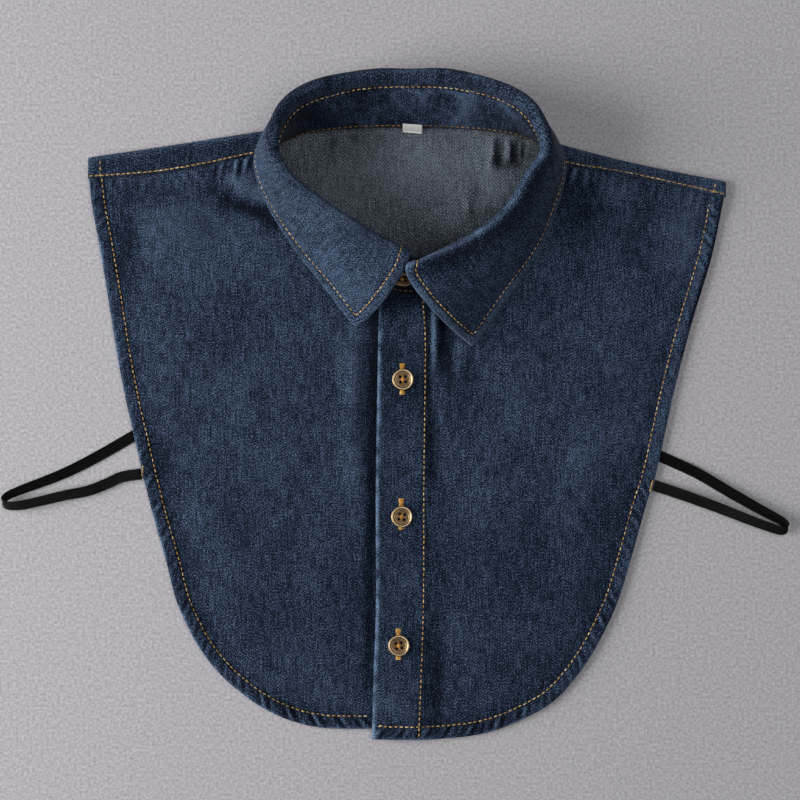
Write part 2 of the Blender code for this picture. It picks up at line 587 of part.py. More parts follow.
def leaf_section(row, lift):
    """Middle of the leaf's wall: up from the stand, round the fold and down to its free edge."""
    section = dict(zip(COLLAR_COLUMNS, row))
    lean = radians(section["lean"])
    facing = compass(section["stand_turn"])
    falling = compass(section["leaf_turn"])
    upward = np.array((0.0, 0.0, 1.0))
    up = facing * sin(lean) + upward * cos(lean)
    foot = np.array((section["seam_x"], section["seam_y"], section["seam_z"]))
    start = foot + up * (section["height"] + SEAM_GAP)
    arc_start = start + up * section["rise"]
    top = arc_start - facing * ROLL_RADIUS * (1.0 - cos(lean)) - upward * ROLL_RADIUS * sin(lean)
    edge_out = section["out"] - ROLL_RADIUS
    edge_up = section["edge_z"] - top[2]
    reach = hypot(edge_out, edge_up)
    fall = pi - (atan2(edge_up, edge_out) + acos(ROLL_RADIUS / reach))
    points = [start]
    for angle in np.linspace(lean, fall, ARC_POINTS):
        level = facing if angle < 0.0 else falling
        points.append(top + level * ROLL_RADIUS * (1.0 - cos(angle)) + upward * ROLL_RADIUS * sin(angle))
    length = sqrt(reach**2 - ROLL_RADIUS**2)
    down = falling * sin(fall) + upward * cos(fall)
    outward = -falling * cos(fall) + upward * sin(fall)
    for share in np.linspace(0.0, 1.0, FALL_POINTS + 1)[1:]:
        bow = LEAF_BELLY * 16.0 * share**2 * (1.0 - share) ** 2     # greatest halfway down
        bow += lift * 29.0 * share**2 * (1.0 - share) ** 3          # greatest two fifths of the way down
        points.append(points[ARC_POINTS] + down * length * share + outward * bow)
    return points


def near_fronts(place):
    """How near a place along the collar, in rows of the table, is to each front edge of the leaf."""
    last = len(COLLAR_SECTIONS) - 2
    return 1.0 - ease((place - 1.0) / BOW_ROWS), 1.0 - ease((last - place) / BOW_ROWS)


def bowed_place(place, share):
    """Place along the collar of a point of the leaf that is some share of the way down to its edge."""
    right, left = near_fronts(place)
    right *= RIGHT_EDGE_BOW * sin(pi * share**RIGHT_BOW_SKEW)
    left *= LEFT_EDGE_BOW * sin(pi * share**LEFT_BOW_SKEW)
    return place - right + left


def collar(finish):
    """Stand and leaf, each a wall through the sections of the table."""
    rows = smooth_rows(COLLAR_SECTIONS, SECTIONS_PER_SPAN)
    stand = np.array([stand_section(row) for row in rows])
    fine = smooth_rows(COLLAR_SECTIONS, SECTIONS_PER_SPAN * BOW_STEPS)
    shares = [FOLD_SHARE * (column / ARC_POINTS) ** 2 for column in range(ARC_POINTS + 1)]
    shares += list(np.linspace(FOLD_SHARE, 1.0, FALL_POINTS + 1)[1:])
    leaf = []
    for number in range(SECTIONS_PER_SPAN, len(rows) - SECTIONS_PER_SPAN):
        place = number / SECTIONS_PER_SPAN
        lift = FRONT_LIFT * max(near_fronts(place))
        bowed = [int(round(bowed_place(place, share) * SECTIONS_PER_SPAN * BOW_STEPS)) for share in shares]
        leaf.append([leaf_section(fine[near], lift)[column] for column, near in enumerate(bowed)])
    leaf = np.array(leaf)
    thick_grid("collar_stand", stand, STAND_WALL, finish)
    thick_grid("collar_leaf", leaf, LEAF_WALL, finish)
    return rows


def button(name, centre, normal, finish):
    """Four-hole button with a raised rim, turned from its profile."""
    shape = bmesh.new()
    points = [shape.verts.new((radius * MM, 0.0, height * MM)) for radius, height in BUTTON_PROFILE]
    edges = [shape.edges.new(pair) for pair in zip(points[:-1], points[1:])]
    bmesh.ops.spin(shape, geom=points + edges, cent=(0, 0, 0), axis=(0, 0, 1), angle=2 * pi, steps=BUTTON_SIDES)
    bmesh.ops.remove_doubles(shape, verts=shape.verts, dist=0.00001)
    bmesh.ops.recalc_face_normals(shape, faces=shape.faces)
    mesh = bpy.data.meshes.new(name)
    shape.to_mesh(mesh)
    shape.free()
    mesh.materials.append(finish)
    mesh.shade_smooth()
    mesh.set_sharp_from_angle(angle=radians(40))
    made = bpy.data.objects.new(name, mesh)
    bpy.context.scene.collection.objects.link(made)
    made.location = Vector([value * MM for value in centre])
    made.rotation_mode = "QUATERNION"
    made.rotation_quaternion = Vector((0, 0, 1)).rotation_difference(Vector(normal))
    half = BUTTON_HOLE_SPACING / 2 * MM
    for number, (x, y) in enumerate(((half, half), (-half, half), (-half, -half), (half, -half))):
        bpy.ops.mesh.primitive_cylinder_add(vertices=8, radius=BUTTON_HOLE_RADIUS * MM, depth=10 * MM, location=(x, y, 0))
        cutter = bpy.context.object
        cutter.name = f"{name}_hole_{number}"
        cutter.hide_render = True
        cutter.display_type = "WIRE"
        cutter.parent = made
        cut = made.modifiers.new(f"hole_{number}", "BOOLEAN")
        cut.object = cutter
        cut.solver = "EXACT"
    return made


def buttons(finish):
    """Three buttons down the placket, and one on the end of the stand that lies on top."""
    placket_top = 2 * (CLOTH + SEAM_GAP) + CLOTH + PLACKET_EXTRA
    for name, x, y in PLACKET_BUTTONS:
        button(name, (x, y, placket_top + SEAM_GAP), (0.0, 0.0, 1.0), finish)
    rows = smooth_rows(COLLAR_SECTIONS, 16)[-17:]
    middle = np.argmin(abs(rows[:, 0] - COLLAR_BUTTON_X))
    beside = []
    for row in rows[[middle - 5, middle, middle + 5]]:
        foot, *_, top = stand_section(row)
        beside.append(foot + (top - foot) / np.linalg.norm(top - foot) * COLLAR_BUTTON_UP)
    before, here, after = beside
    outward = np.cross(here - rows[middle][:3], after - before)
    outward *= -np.sign(outward[1]) / np.linalg.norm(outward)
    centre = (before + 2 * here + after) / 4 + outward * (STAND_WALL / 2 + COLLAR_BUTTON_GAP)
    button("button_collar", centre, outward, finish)


def elastic(name, table, finish):
    """Flat tape along a loop, leaning over by its tilt."""
    rows = smooth_rows(table, ELASTIC_PER_SPAN)
    middle = rows[:, :ELASTIC_COLUMNS.index("tilt")]
    tilt = np.radians(rows[:, ELASTIC_COLUMNS.index("tilt")])
    across = np.column_stack((np.zeros(len(rows)), np.sin(tilt), np.cos(tilt)))
    run = np.gradient(middle, axis=0)
    run /= np.linalg.norm(run, axis=1)[:, None]
    across -= (across * run).sum(axis=1)[:, None] * run * ELASTIC_UPRIGHT
    across /= np.linalg.norm(across, axis=1)[:, None]
    grid = np.stack([middle + across * ELASTIC_WIDTH * share for share in (-0.5, 0.0, 0.5)], axis=1)
    return thick_grid(name, grid, ELASTIC_WALL, finish)


def neck_label(finish):
    """Short tape across the back neck seam, half on the panel and half on the stand."""
    line = smooth_rows(LABEL_SECTION, 2)
    grid = np.array([[(x, y - LABEL_SKEW * (x - LABEL_ENDS[0]), z) for x in LABEL_ENDS] for y, z in line])
    return thick_grid("neck_label", grid, LABEL_WALL, finish)


def main():
    for old in list(bpy.data.objects):
        bpy.data.objects.remove(old)
    denim = material("indigo_denim", (0.028, 0.055, 0.105), 0.85)
    brass = material("antique_brass", (0.33, 0.2, 0.08), 0.35, 1.0)
    rubber = material("black_elastic", (0.012, 0.012, 0.013), 0.8)
    tape = material("white_tape", (0.6, 0.6, 0.56), 0.8)
    back_panel(denim)
    right_front(denim)
    left_front(denim)
    collar(denim)
    buttons(brass)
    elastic("elastic_right", ELASTIC_RIGHT, rubber)
    elastic("elastic_left", ELASTIC_LEFT, rubber)
    neck_label(tape)


main()
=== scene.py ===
"""Looks of the detachable denim collar: its cloth as fine sheets with their creases, hems and stitching,
buttons, elastic loops and a blank label, on the surface that it lies on.

The tables and sizes are in millimetres and degrees, as in the source of the solids, and meshes are made in
metres. +Y runs towards the back of the neck and -X is the wearer's right."""

from collections import namedtuple
from math import acos, atan2, cos, hypot, pi, radians, sin, sqrt

import bmesh
import bpy
import numpy as np
from mathutils import Matrix, Vector
from mathutils.geometry import delaunay_2d_cdt


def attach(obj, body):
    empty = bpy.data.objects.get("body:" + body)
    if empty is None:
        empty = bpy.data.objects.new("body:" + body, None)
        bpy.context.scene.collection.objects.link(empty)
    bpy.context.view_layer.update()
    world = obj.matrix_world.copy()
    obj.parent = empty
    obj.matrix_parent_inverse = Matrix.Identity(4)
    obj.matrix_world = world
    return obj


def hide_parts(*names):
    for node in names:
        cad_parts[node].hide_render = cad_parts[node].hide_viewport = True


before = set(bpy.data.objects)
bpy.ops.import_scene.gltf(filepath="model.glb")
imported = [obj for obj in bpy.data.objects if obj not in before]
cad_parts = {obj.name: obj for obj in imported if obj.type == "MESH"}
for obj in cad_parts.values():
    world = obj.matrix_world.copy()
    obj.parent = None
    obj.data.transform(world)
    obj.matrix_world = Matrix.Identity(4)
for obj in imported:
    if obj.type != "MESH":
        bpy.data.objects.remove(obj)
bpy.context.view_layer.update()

MM = 0.001
UPWARD = np.array((0.0, 0.0, 1.0))

# Walls of the cloth, and how hems and folds change them
CLOTH = 1.0
SEAM_GAP = 0.3
STAND_WALL = 2.0            # two layers with an interlining
LEAF_WALL = 1.8
HEM_WIDTH = 7.5
HEM_EXTRA = 0.8             # what the turned-up layers add
PLACKET_EXTRA = 0.9         # what the folded placket adds
STEP_WIDTH = 1.2            # over which the cloth thickens at a hem or a placket
FOLD_RADIUS = 1.15          # of the back panel's bend at the shoulders
FOLD_TURN = pi * FOLD_RADIUS
NECK_LIP = 0.8              # how far the fronts run in under the stand
OVERHANG = 3.5              # how far the fronts reach past the back panel

# How the fronts stand off what lies under them: full loft, and how far in from an edge it is reached
LOFT = 3.0
FLAT_BORDER = 4.0
LOFT_REACH = 36.0
NECK_REACH = 85.0
CREASE_REACH = 9.0          # over which creases die out at an edge
SHOULDER_REACH = 22.0       # over which a front comes down from the shoulder's bend

# Where the placket laps over the other front
PLACKET_EDGE = 1.7          # how far its inner edge lies beyond the line of its stitching
PLACKET_STITCH_SHIFT = 0.2
LAP_SLOPE = 14.0            # over which the upper front comes down beside it
LAP_START = 1.2
LAP_FALL = 5.0              # how quickly the lower front comes down where the placket laps over it
BUTTON_STRIP_EDGE = 15.0
LOWER_HEM_TOP = -172.0      # y where the placket rises over the hem of the front under it

NECK_CENTRE = (8.0, 118.0)

# Wearer's right front, from the shoulder down the side and round to the centre front
RIGHT_HEM = ((-177.9, 129.9), (-176.0, 113.0), (-172.6, 95.0), (-167.5, 65.0), (-160.8, 23.2), (-152.0, -18.6),
             (-142.0, -60.3), (-133.5, -90.5), (-127.2, -114.3), (-117.1, -136.3), (-105.6, -152.5),
             (-93.1, -164.7), (-79.2, -174.8), (-62.9, -182.7), (-43.2, -187.4), (-15.4, -188.1), (15.0, -188.1))
# Wearer's left front, from the shoulder down the side and round to the fold of the placket
LEFT_HEM = ((189.4, 119.6), (182.6, 85.8), (170.2, 44.1), (159.6, 2.3), (150.5, -39.4), (144.0, -60.3),
            (134.7, -93.5), (127.5, -116.0), (116.0, -140.0), (105.2, -156.6), (93.1, -170.2), (80.7, -178.6),
            (60.0, -187.9), (41.5, -192.3), (17.7, -194.1), (-14.2, -193.7))
PLACKET_FOLD = ((-9.4, 66.5), (-10.2, 55.0), (-11.9, -44.0), (-11.9, -116.6), (-13.1, -152.5), (-14.2, -193.7))
PLACKET_STITCH = ((14.6, 67.0), (15.2, 59.5), (16.5, 30.7), (15.7, -44.0), (15.4, -116.6), (12.8, -190.0))

# Shoulders: the fold of the back panel and the seam where it meets the front
RIGHT_FOLD = ((-178.4, 141.1), (-127.0, 148.7), (-75.9, 156.7), (-62.0, 158.4))
RIGHT_SEAM = ((-178.4, 130.2), (-141.2, 133.1), (-113.4, 137.5), (-83.8, 143.9), (-69.0, 147.0))
LEFT_FOLD = ((79.0, 154.4), (94.8, 148.9), (128.8, 139.9), (160.0, 133.1), (191.1, 127.2))
LEFT_SEAM = ((82.0, 145.5), (99.5, 138.3), (128.8, 133.4), (158.1, 127.3), (190.4, 119.9))
RIGHT_SHOULDER_X = (-178.4, -71.0)
LEFT_SHOULDER_X = (86.5, 190.6)
# Corners of the back panel between its shoulders and the neck seam
RIGHT_NECK_CORNER = (-60.0, 157.4)
LEFT_NECK_CORNER = (75.0, 154.8)

# Folds in the fronts: x and y of both ends of each crease, its half width, and its height, or its depth where
# negative
FOLD_FADE = 0.3             # share of its length over which a crease fades at each end
RIGHT_FRONT_FOLDS = (
    (-112, 132, -76, 104, 7, -3.1), (-98, 136, -84, 122, 8, 1.7), (-130, 128, -121, 70, 20, 2.3),
    (-157, 128, -152, 76, 8, -1.6), (-156, 12, -116, -18, 12, 2), (-148, -16, -129, -50, 10, -1.7),
    (-26.5, 48, -23.5, -60, 9, 2.2), (-16, 56, -17.5, -56, 6, -2.6), (-62, 30, -84, -60, 16, -1.6),
    (-40, -90, -58, -150, 13, 1.4),
)
LEFT_FRONT_FOLDS = (
    (22.5, 60, 21.8, 14, 4.5, 1.8), (30, 54, 28, 12, 6, -2.2), (38, 34, 22, -26, 6.5, 2),
    (21.5, 4, 21, -50, 6, -2), (24, -120, 21.5, -184, 7, -2.1), (32, -144, 25, -178, 6, 1.3),
    (128, 124, 151, 76, 12, -2.2), (77, 76, 99, 48, 11, -2), (106, 118, 118, 102, 9, -1.6),
    (100, 40, 112, -60, 18, 1.6), (60, -80, 52, -160, 15, -1.3),
)
# Lesser creases that only the cloth's own surface has
RIGHT_SMALL_FOLDS = (
    (-20.5, 58, -19.5, -56, 4.5, 1.3), (-33.5, 44, -31.5, -56, 5, -0.9), (-104, 134, -98, 120, 2.6, 0.7),
    (-96, 137, -88, 123, 2.4, 0.8), (-88, 139, -80, 128, 2.2, 0.7), (-80, 128, -72, 118, 3, 0.6),
    (-140, 60, -128, 20, 9, -0.7), (-60, 60, -70, 10, 9, 0.6), (-36, 62, -44, 30, 6, 0.8),
    (-110, -60, -90, -110, 10, 0.6), (-128, -70, -112, -112, 7, -0.7), (-52, -20, -46, -70, 8, -0.6),
)
LEFT_SMALL_FOLDS = (
    (24.4, 62, 24, 12, 2.4, 1.1), (37.5, 40, 21, -12, 2.8, 1), (29.8, 58, 28.8, 14, 3, -0.8),
    (43, 52, 38, 20, 3.5, 0.5), (46, 30, 34, -4, 4, 0.7), (52, 22, 66, -30, 9, -0.7),
    (139, 112, 158, 84, 5, 0.7), (112, 126, 121, 110, 3, 0.8), (101, 128, 108, 116, 2.6, 0.7),
    (140, 20, 132, -30, 9, 0.7), (84, -40, 92, -110, 12, -0.6), (30, -62, 40, -112, 7, 0.6),
    (112, -70, 96, -130, 8, 0.6),
)
# Short upright folds in the back panel, inside the neck, and where most of them stand
NECK_FOLDS = (
    (56.8, 157, 54.6, 134, 2.5, 2.5), (65.8, 156, 64.4, 136, 2.1, 2.5), (71.8, 154, 71, 140, 1.3, 1.5),
    (76, 150, 75, 140, 1.4, 1), (43, 132, 50, 104, 5, 0.9), (-38, 152, -44, 138, 3, 0.8),
    (-22, 156, -24, 144, 2.6, 0.5), (30, 157, 31, 146, 2.4, 0.5),
)
NECK_FOLD_X = (47.0, 77.0)
NECK_FOLD_Y = (135.0, 152.5)

# Patches painted paler or darker: painted highlights on lit ridges and swells, painted shade in troughs, in the
# shoulder folds, under the collar and on sides turned from the lamp, and paler and deeper dye. Middle of each
# patch, its half width and half height, and how much
RIGHT_PAINTED_LIGHT_AND_FADING = (
    (-128, 102, 22, 30, 0.20), (-155, 104, 7, 26, -0.55), (-107, 127, 4, 6, -0.7), (-99, 118, 5, 4.5, -1.1),
    (-90, 114.5, 6, 3.5, -1.2), (-80, 111, 6, 4, -1.2), (-74, 105, 5, 5, -0.9), (-88, 127, 8, 7, 0.35),
    (-79, 121, 5, 6, 0.35), (-141, -8, 9, 10, -0.25), (-134, -28, 9, 14, -0.5), (-24, 22, 6, 24, 0.15),
    (-22, -36, 8, 18, 0.14), (-12.4, 24, 3.2, 36, -1.3), (-13, -34, 3.2, 34, -0.9),
    (-15, -110, 3.4, 60, -0.3), (-60, -112, 70, 60, -0.19), (-108, 136, 26, 4, -0.2),
    (-128, 55, 12, 30, -0.22), (-126, -48, 8, 12, -0.3), (-42, 14, 11, 20, -0.3), (-73, 31, 36, 28, -0.12),
    (-102, -128, 20, 18, -0.22), (-140, 122, 26, 7, -0.3),
)
LEFT_PAINTED_LIGHT_AND_FADING = (
    (18.4, 36, 1.1, 30, -1), (21.4, 42, 1.2, 26, 1.1), (28, 42, 4.2, 22, -1), (35.2, 28, 1.6, 10, 0.35),
    (31, 20, 2.6, 9, -0.5), (41.5, 28, 4, 14, -0.35), (42, -12, 17, 26, -0.28), (20.8, -22, 3, 26, -0.6),
    (23.5, -158, 4.5, 32, -0.6), (110, 112, 12, 14, -0.45), (140, 101, 9, 22, -0.3), (89, 66, 8, 12, -0.25),
    (92, 128, 10, 6, -0.5), (80, -104, 80, 60, -0.3), (100, 60, 90, 70, -0.1), (172, 92, 12, 34, 0.32),
    (60, -150, 30, 20, -0.16), (128, 122, 12, 6, 0.25),
)
PLACKET_PAINTED_LIGHT_AND_FADING = (
    (3, 62, 22, 8, -0.5), (2, 10, 22, 45, -0.42), (2, -90, 22, 60, -0.2), (2, -150, 22, 26, -0.14),
)
REVERSE_PAINTED_LIGHT_AND_FADING = (
    (16, 140, 34, 18, 0.4), (54, 124, 12, 12, 0.3), (8, 84, 52, 18, -0.35), (-50, 130, 16, 14, -0.12),
    (57.6, 147.5, 1.3, 6, -0.9), (58.8, 140.5, 2.7, 5, -1.2), (60.6, 149.5, 0.9, 5, -0.9),
    (68.2, 142.5, 2.7, 4.6, -1.3), (66.9, 149, 0.8, 5, -0.9), (69.5, 149.5, 0.9, 5.5, -1.2),
    (73.4, 147, 1.1, 5, -1), (71, 138.5, 1.6, 3, -0.6), (63.4, 138, 2.4, 3, -0.7), (54.4, 149, 1.1, 7, 0.3),
    (64.6, 148.5, 1.2, 5.5, 0.4), (71.2, 150, 0.8, 4, 0.4), (45, 122, 3.6, 12, -0.6), (44, 111, 2, 8, -0.5),
    (60, 110, 10, 10, -0.45), (-37, 150, 3, 6, -0.5), (-25, 154, 2, 4, -0.4), (-22, 116, 22, 20, 0.22),
)

# Sections of the collar, from the wearer's right end round the back of the neck to the left end
# Seams in millimetres and turns in degrees. out and edge_z say where the leaf's free edge is
Section = namedtuple("Section", "seam_x seam_y seam_z stand_turn lean height rise leaf_turn out edge_z")
COLLAR_SECTIONS = (
    (16, 67.8, 3.6, 274, -40, 24, 2, 234, 52, 5.6),
    (6.6, 68.2, 3.6, 269, -41, 25, 2, 234.2, 52.2, 5.6),
    (-19.9, 77.4, 3.6, 245, -43, 26.5, 2.5, 228, 42.5, 5.2),
    (-39.6, 93.1, 3.6, 232, -32.7, 28, 3, 222.6, 34.7, 5.2),
    (-55.8, 109.9, 3.6, 221, -22.8, 29, 3.5, 215, 26.6, 5.2),
    (-66.8, 124.3, 4, 207, -15.2, 30, 4, 202, 19.8, 5.4),
    (-71.4, 139.3, 4.6, 190, -9, 30, 4, 190, 15.8, 5.6),
    (-68.5, 149, 4.6, 172, -3, 30, 4, 172, 12.4, 5.4),
    (-61.2, 153.6, 3.4, 146, 8, 30, 5, 146, 6, 4.8),
    (-47, 157.8, 2.3, 115, 27.5, 30, 5, 115, -2.2, 1.4),
    (-22, 160, 2.1, 100, 41, 30, 4.6, 100, -9.6, 1.1),
    (5, 160.4, 2.1, 90, 46, 30, 4.2, 90, -15.5, 1.1),
    (33, 159.8, 2.1, 80, 44, 30, 4, 80, -11.5, 1.1),
    (60, 157.8, 2.3, 66, 28, 30, 3.2, 66, -2.8, 1.4),
    (76, 153.8, 3.4, 38, 5.5, 30, 3.6, 38, 6, 4.8),
    (83.2, 148.6, 4.6, 12, -4, 30, 4, 12, 12.2, 5.4),
    (86.9, 140.4, 4.6, -8, -10, 30, 4, -10, 16.4, 5.6),
    (84.2, 127.2, 4, -25, -18.2, 30, 4, -36, 24, 5.4),
    (74.9, 107, 3.6, -36, -23.2, 29, 3.5, -47, 30.1, 5.2),
    (61.6, 89.1, 3.6, -48, -31.3, 28, 3, -53.7, 36.2, 5.2),
    (39.6, 73.4, 4.2, -66, -38.8, 26, 2.5, -55.8, 46.2, 5.4),
    (10.1, 65.2, 5.9, -88, -33, 24, 2, -54, 57.8, 5.8),
    (-8.5, 67.4, 5.9, -100, -36, 19, 2, -54, 57.8, 5.8),
)
LAST_SECTION = len(COLLAR_SECTIONS) - 1
ROLL_RADIUS = 3.0
LEAF_BELLY = 1.4            # how far the leaf's middle stands out
RIGHT_EDGE_BOW = 0.6        # how far the front edges bow out, in rows of the table
LEFT_EDGE_BOW = 0.57
RIGHT_BOW_SKEW = 0.8        # below 1, the bow is widest near the fold
LEFT_BOW_SKEW = 0.55
FOLD_SHARE = 0.08           # of the way down that the fold takes up
BOW_ROWS = 2.0              # over which the bow and the lift fade
FRONT_LIFT = 3.8            # of the leaf's points over the stand button
RIGHT_END_RUN = 18.0        # millimetres along the collar for each row of its table, at either end of the leaf
LEFT_END_RUN = 24.0
# How far from the leaf's edge the last rows of its mesh are
LEAF_EDGE_STEPS = (9.2, 8.2, 7.3, 6.7, 6.1, 5.5, 4.6, 3.4, 2.2, 1.1, 0.4, 0.0)

# Buttons: the steps of their wall, wider and higher, then of their face, inwards and up
BUTTON_WALL = ((1.0, 0.0), (0.2, 0.7), (0.0, 0.6))
BUTTON_DISH = ((0.45, 0.3), (0.55, 0.05), (0.45, -0.45), (0.3, -0.35), (0.5, 0.0), (0.2, -0.2))
HOLES = ((1.5, 1.5), (-1.5, 1.5), (-1.5, -1.5), (1.5, -1.5))
BUTTON_TURNS = (("button_top", 4.0), ("button_middle", -7.0), ("button_bottom", 9.0), ("button_collar", 0.0))
# Threads across each button: place to the side, length and height
BUTTON_THREADS = ((-0.9, 1.7, 1.45), (0.9, 1.7, 1.45), (-0.45, 2.7, 1.6), (0.45, 2.7, 1.6), (0.0, 3.5, 1.75))
BUTTONHOLE_SHIFTS = (0.3, 1.5, 0.7)     # how far above its button the middle of each buttonhole is
PLACKET_BUTTONS = ((3.7, 14.2), (3.1, -65.1), (1.4, -139.5))
COLLAR_BUTTON_X = 3.2
COLLAR_BUTTON_UP = 15.0     # up the stand from its seam
COLLAR_BUTTON_GAP = 0.7     # between the stand and the button

# Elastic loops, from under the hem out and back: x, y, z and the tilt of the tape
ELASTIC_WIDTH = 6.4
ELASTIC_WALL = 1.0
ELASTIC_UPRIGHT = 0.9       # 1 would hold the tape square to its run
ELASTIC_RIBS = 5.0          # across the tape
ELASTIC_RIGHT = (
    (-150.4, -17.2, 0.6, 90), (-162.1, -24.1, 0.6, 89), (-175.2, -31.5, 0.9, 84), (-189.7, -38.9, 1.6, 74),
    (-203.5, -44.6, 2.2, 64), (-217, -49.6, 2.8, 56), (-224.6, -53, 3.6, 52), (-227.2, -56, 4.6, 52),
    (-224.6, -58.6, 5.5, 54), (-216.6, -58.4, 6.2, 60), (-204.8, -55.9, 5.6, 64), (-191.7, -52.8, 4.4, 70),
    (-178.4, -50.2, 3.2, 76), (-167, -45.8, 2.3, 82), (-159.2, -42.3, 2, 88), (-147.7, -40.4, 2.2, 90),
)
ELASTIC_LEFT = (
    (151, -29.3, 0.6, 90), (161, -33.9, 0.6, 89), (174.3, -40.1, 0.9, 84), (191.7, -50.3, 1.6, 76),
    (206.2, -58.6, 2.2, 68), (217.6, -64.8, 2.8, 60), (223.6, -68.2, 3.4, 55), (225.8, -71, 4.4, 52),
    (222.8, -73.2, 5.3, 54), (214, -70.6, 5.8, 60), (202, -66.2, 5.2, 66), (185.3, -59.7, 4.2, 74),
    (170.2, -54.2, 3.2, 80), (158.6, -50.2, 2.3, 86), (149, -47, 2.2, 90),
)

# x, y and lean of the stitches that catch the elastics
ELASTIC_TACKS = ((-146.9, -38.6, 0.08), (147.4, -47.3, 0.26))

# Label: y and z of its middle, from the neck seam to its fold
LABEL_SECTION = ((157.5, 1.88), (158.6, 2.1), (159.3, 3.5), (161.7, 6.0))
LABEL_ENDS = (3.6, 14.9)
LABEL_SKEW = 0.1            # how far forward it goes for each millimetre to the left
LABEL_WALL = 0.8

# Stitching
STITCH_PITCH = 3.1
STITCH_LENGTH = 2.2
THREAD = 0.7
HEM_STITCH_IN = 7.5         # how far in from its edge a hem is stitched
LEAF_STITCH_IN = 5.8
NECK_STITCH_UP = 1.6        # how far up the stand the neck seam is stitched
GROOVE = 0.35               # how deep the thread draws the cloth in
# Rings of a stitch: share of its length, and size and rise in threads
STITCH_RINGS = ((-0.5, 0.5, -0.32), (-0.28, 1.0, 0.1), (0.28, 1.0, 0.1), (0.5, 0.5, -0.32))
# Stitching of the shoulders: piece, fold, seam, ends in x, and where a short row crosses and how far it leans
SHOULDER_STITCHES = (
    ("right_shoulder_stitches", RIGHT_FOLD, RIGHT_SEAM, (-178.0, -73.0), -171.3, 0.0),
    ("left_shoulder_stitches", LEFT_FOLD, LEFT_SEAM, (88.5, 190.0), 183.2, 1.5),
)

# Lights: place, size of the square and power. Large and soft, and low from the wearer's right
LIGHTS = (
    ("key_light", (-1.60, -0.10, 0.64), 1.25, 36.5),
    ("fill_light", (0.50, 0.10, 1.65), 1.2, 7.0),
)

FLOOR_HEIGHT = -0.0002
WORLD_STRENGTH = 0.13
CAMERA_PLACE = (0.00203, 0.00232, 1.2)
CAMERA_LENS = 93.1

# Mesh sizes
SHEET_STEP = 2.0
BACK_STEP = 3.2
BORDER_RINGS = (0.35, 0.9, 1.8, 3.0, 4.2, 5.4, 6.3, 7.1, 7.8, 8.6, 9.8)
EDGE_STEP = 1.7
SAME_CORNER = 0.5           # nearer points of an outline are taken as one
FRONT_SHOULDER_POINTS = 44
BACK_SHOULDER_POINTS = 36
CURVE_STEPS = 24            # steps of the collar's curve for each row of its table
COLLAR_STEPS = 11           # rows of its mesh for each row of its table
ROLL_POINTS = 13            # points round the leaf's fold
STAND_POINTS = 17           # points up the stand


# Curves and soft shapes


def smooth_rows(rows, per_span):
    """Rows of any number of columns, joined by a smooth curve that passes through each."""
    rows = np.array(rows, float)
    slopes = np.gradient(rows, axis=0)
    result = []
    for start, end, leave, arrive in zip(rows[:-1], rows[1:], slopes[:-1], slopes[1:]):
        for step in range(per_span):
            t = step / per_span
            result.append(
                (2 * t**3 - 3 * t**2 + 1) * start
                + (t**3 - 2 * t**2 + t) * leave
                + (3 * t**2 - 2 * t**3) * end
                + (t**3 - t**2) * arrive
            )
    return np.array([*result, rows[-1]])


# Sections close together all along the collar
SECTION_CURVE = smooth_rows(COLLAR_SECTIONS, CURVE_STEPS)


def between(place, places, rows):
    """Numbers at a place, or at each of several, from rows of them at known places."""
    return np.stack([np.interp(place, places, column) for column in np.asarray(rows).T], axis=-1)


def unit(vectors):
    """Vectors brought to a length of 1."""
    return vectors / np.linalg.norm(vectors, axis=-1, keepdims=True)


def lengths_along(grid, axis=0):
    """How far along its line, or its row or column of a grid, each point lies."""
    steps = np.linalg.norm(np.diff(grid, axis=axis), axis=-1)
    pad = [(0, 0)] * steps.ndim
    pad[axis] = (1, 0)
    return np.cumsum(np.pad(steps, pad), axis=axis)


def even_line(points, step):
    """Points about one step apart along a smooth curve through the given ones."""
    fine = smooth_rows(points, 12)
    lengths = lengths_along(fine)
    count = max(2, int(round(lengths[-1] / step)) + 1)
    return between(np.linspace(0.0, lengths[-1], count), lengths, fine)


def offset_line(line, amount):
    """Flat line moved to the left of its run."""
    run = np.gradient(line, axis=0)
    return line + unit(np.column_stack((-run[:, 1], run[:, 0]))) * np.reshape(amount, (-1, 1))


def y_at(points, x):
    """Place in y of a curve that runs along x."""
    fine = smooth_rows(points, 8)
    fine = fine[np.argsort(fine[:, 0])]
    return np.interp(x, fine[:, 0], fine[:, 1])


def x_at(points, y):
    """Place in x of a curve that runs along y."""
    return y_at([(along, across) for across, along in points], y)


def ease(value):
    """0 up to 0, 1 from 1 on, with a smooth step between."""
    value = np.clip(value, 0.0, 1.0)
    return value * value * (3.0 - 2.0 * value)


def bell(value):
    """1 at 0, falling away on both sides."""
    return np.exp(-(value**2))


def beside_line(points, line):
    """Distance of each point from a polyline, and how far along the line its nearest place is."""
    points = np.asarray(points, float)
    nearest = np.full(len(points), np.inf)
    place = np.zeros(len(points))
    done = 0.0
    for start, end in zip(line[:-1], line[1:]):
        run = end - start
        along = np.clip(((points - start) @ run) / max(run @ run, 1e-9), 0.0, 1.0)
        away = np.linalg.norm(points - (start + along[:, None] * run), axis=1)
        closer = away < nearest
        nearest[closer] = away[closer]
        length = np.linalg.norm(run)
        place[closer] = done + along[closer] * length
        done += length
    return nearest, place


def inside(points, outline):
    """Which points lie inside a closed outline."""
    found = np.zeros(len(points), bool)
    for (x1, y1), (x2, y2) in zip(outline, np.roll(outline, -1, axis=0)):
        crosses = (y1 > points[:, 1]) != (y2 > points[:, 1])
        with np.errstate(divide="ignore", invalid="ignore"):
            at = (x2 - x1) * (points[:, 1] - y1) / (y2 - y1) + x1
        found ^= crosses & (points[:, 0] < at)
    return found


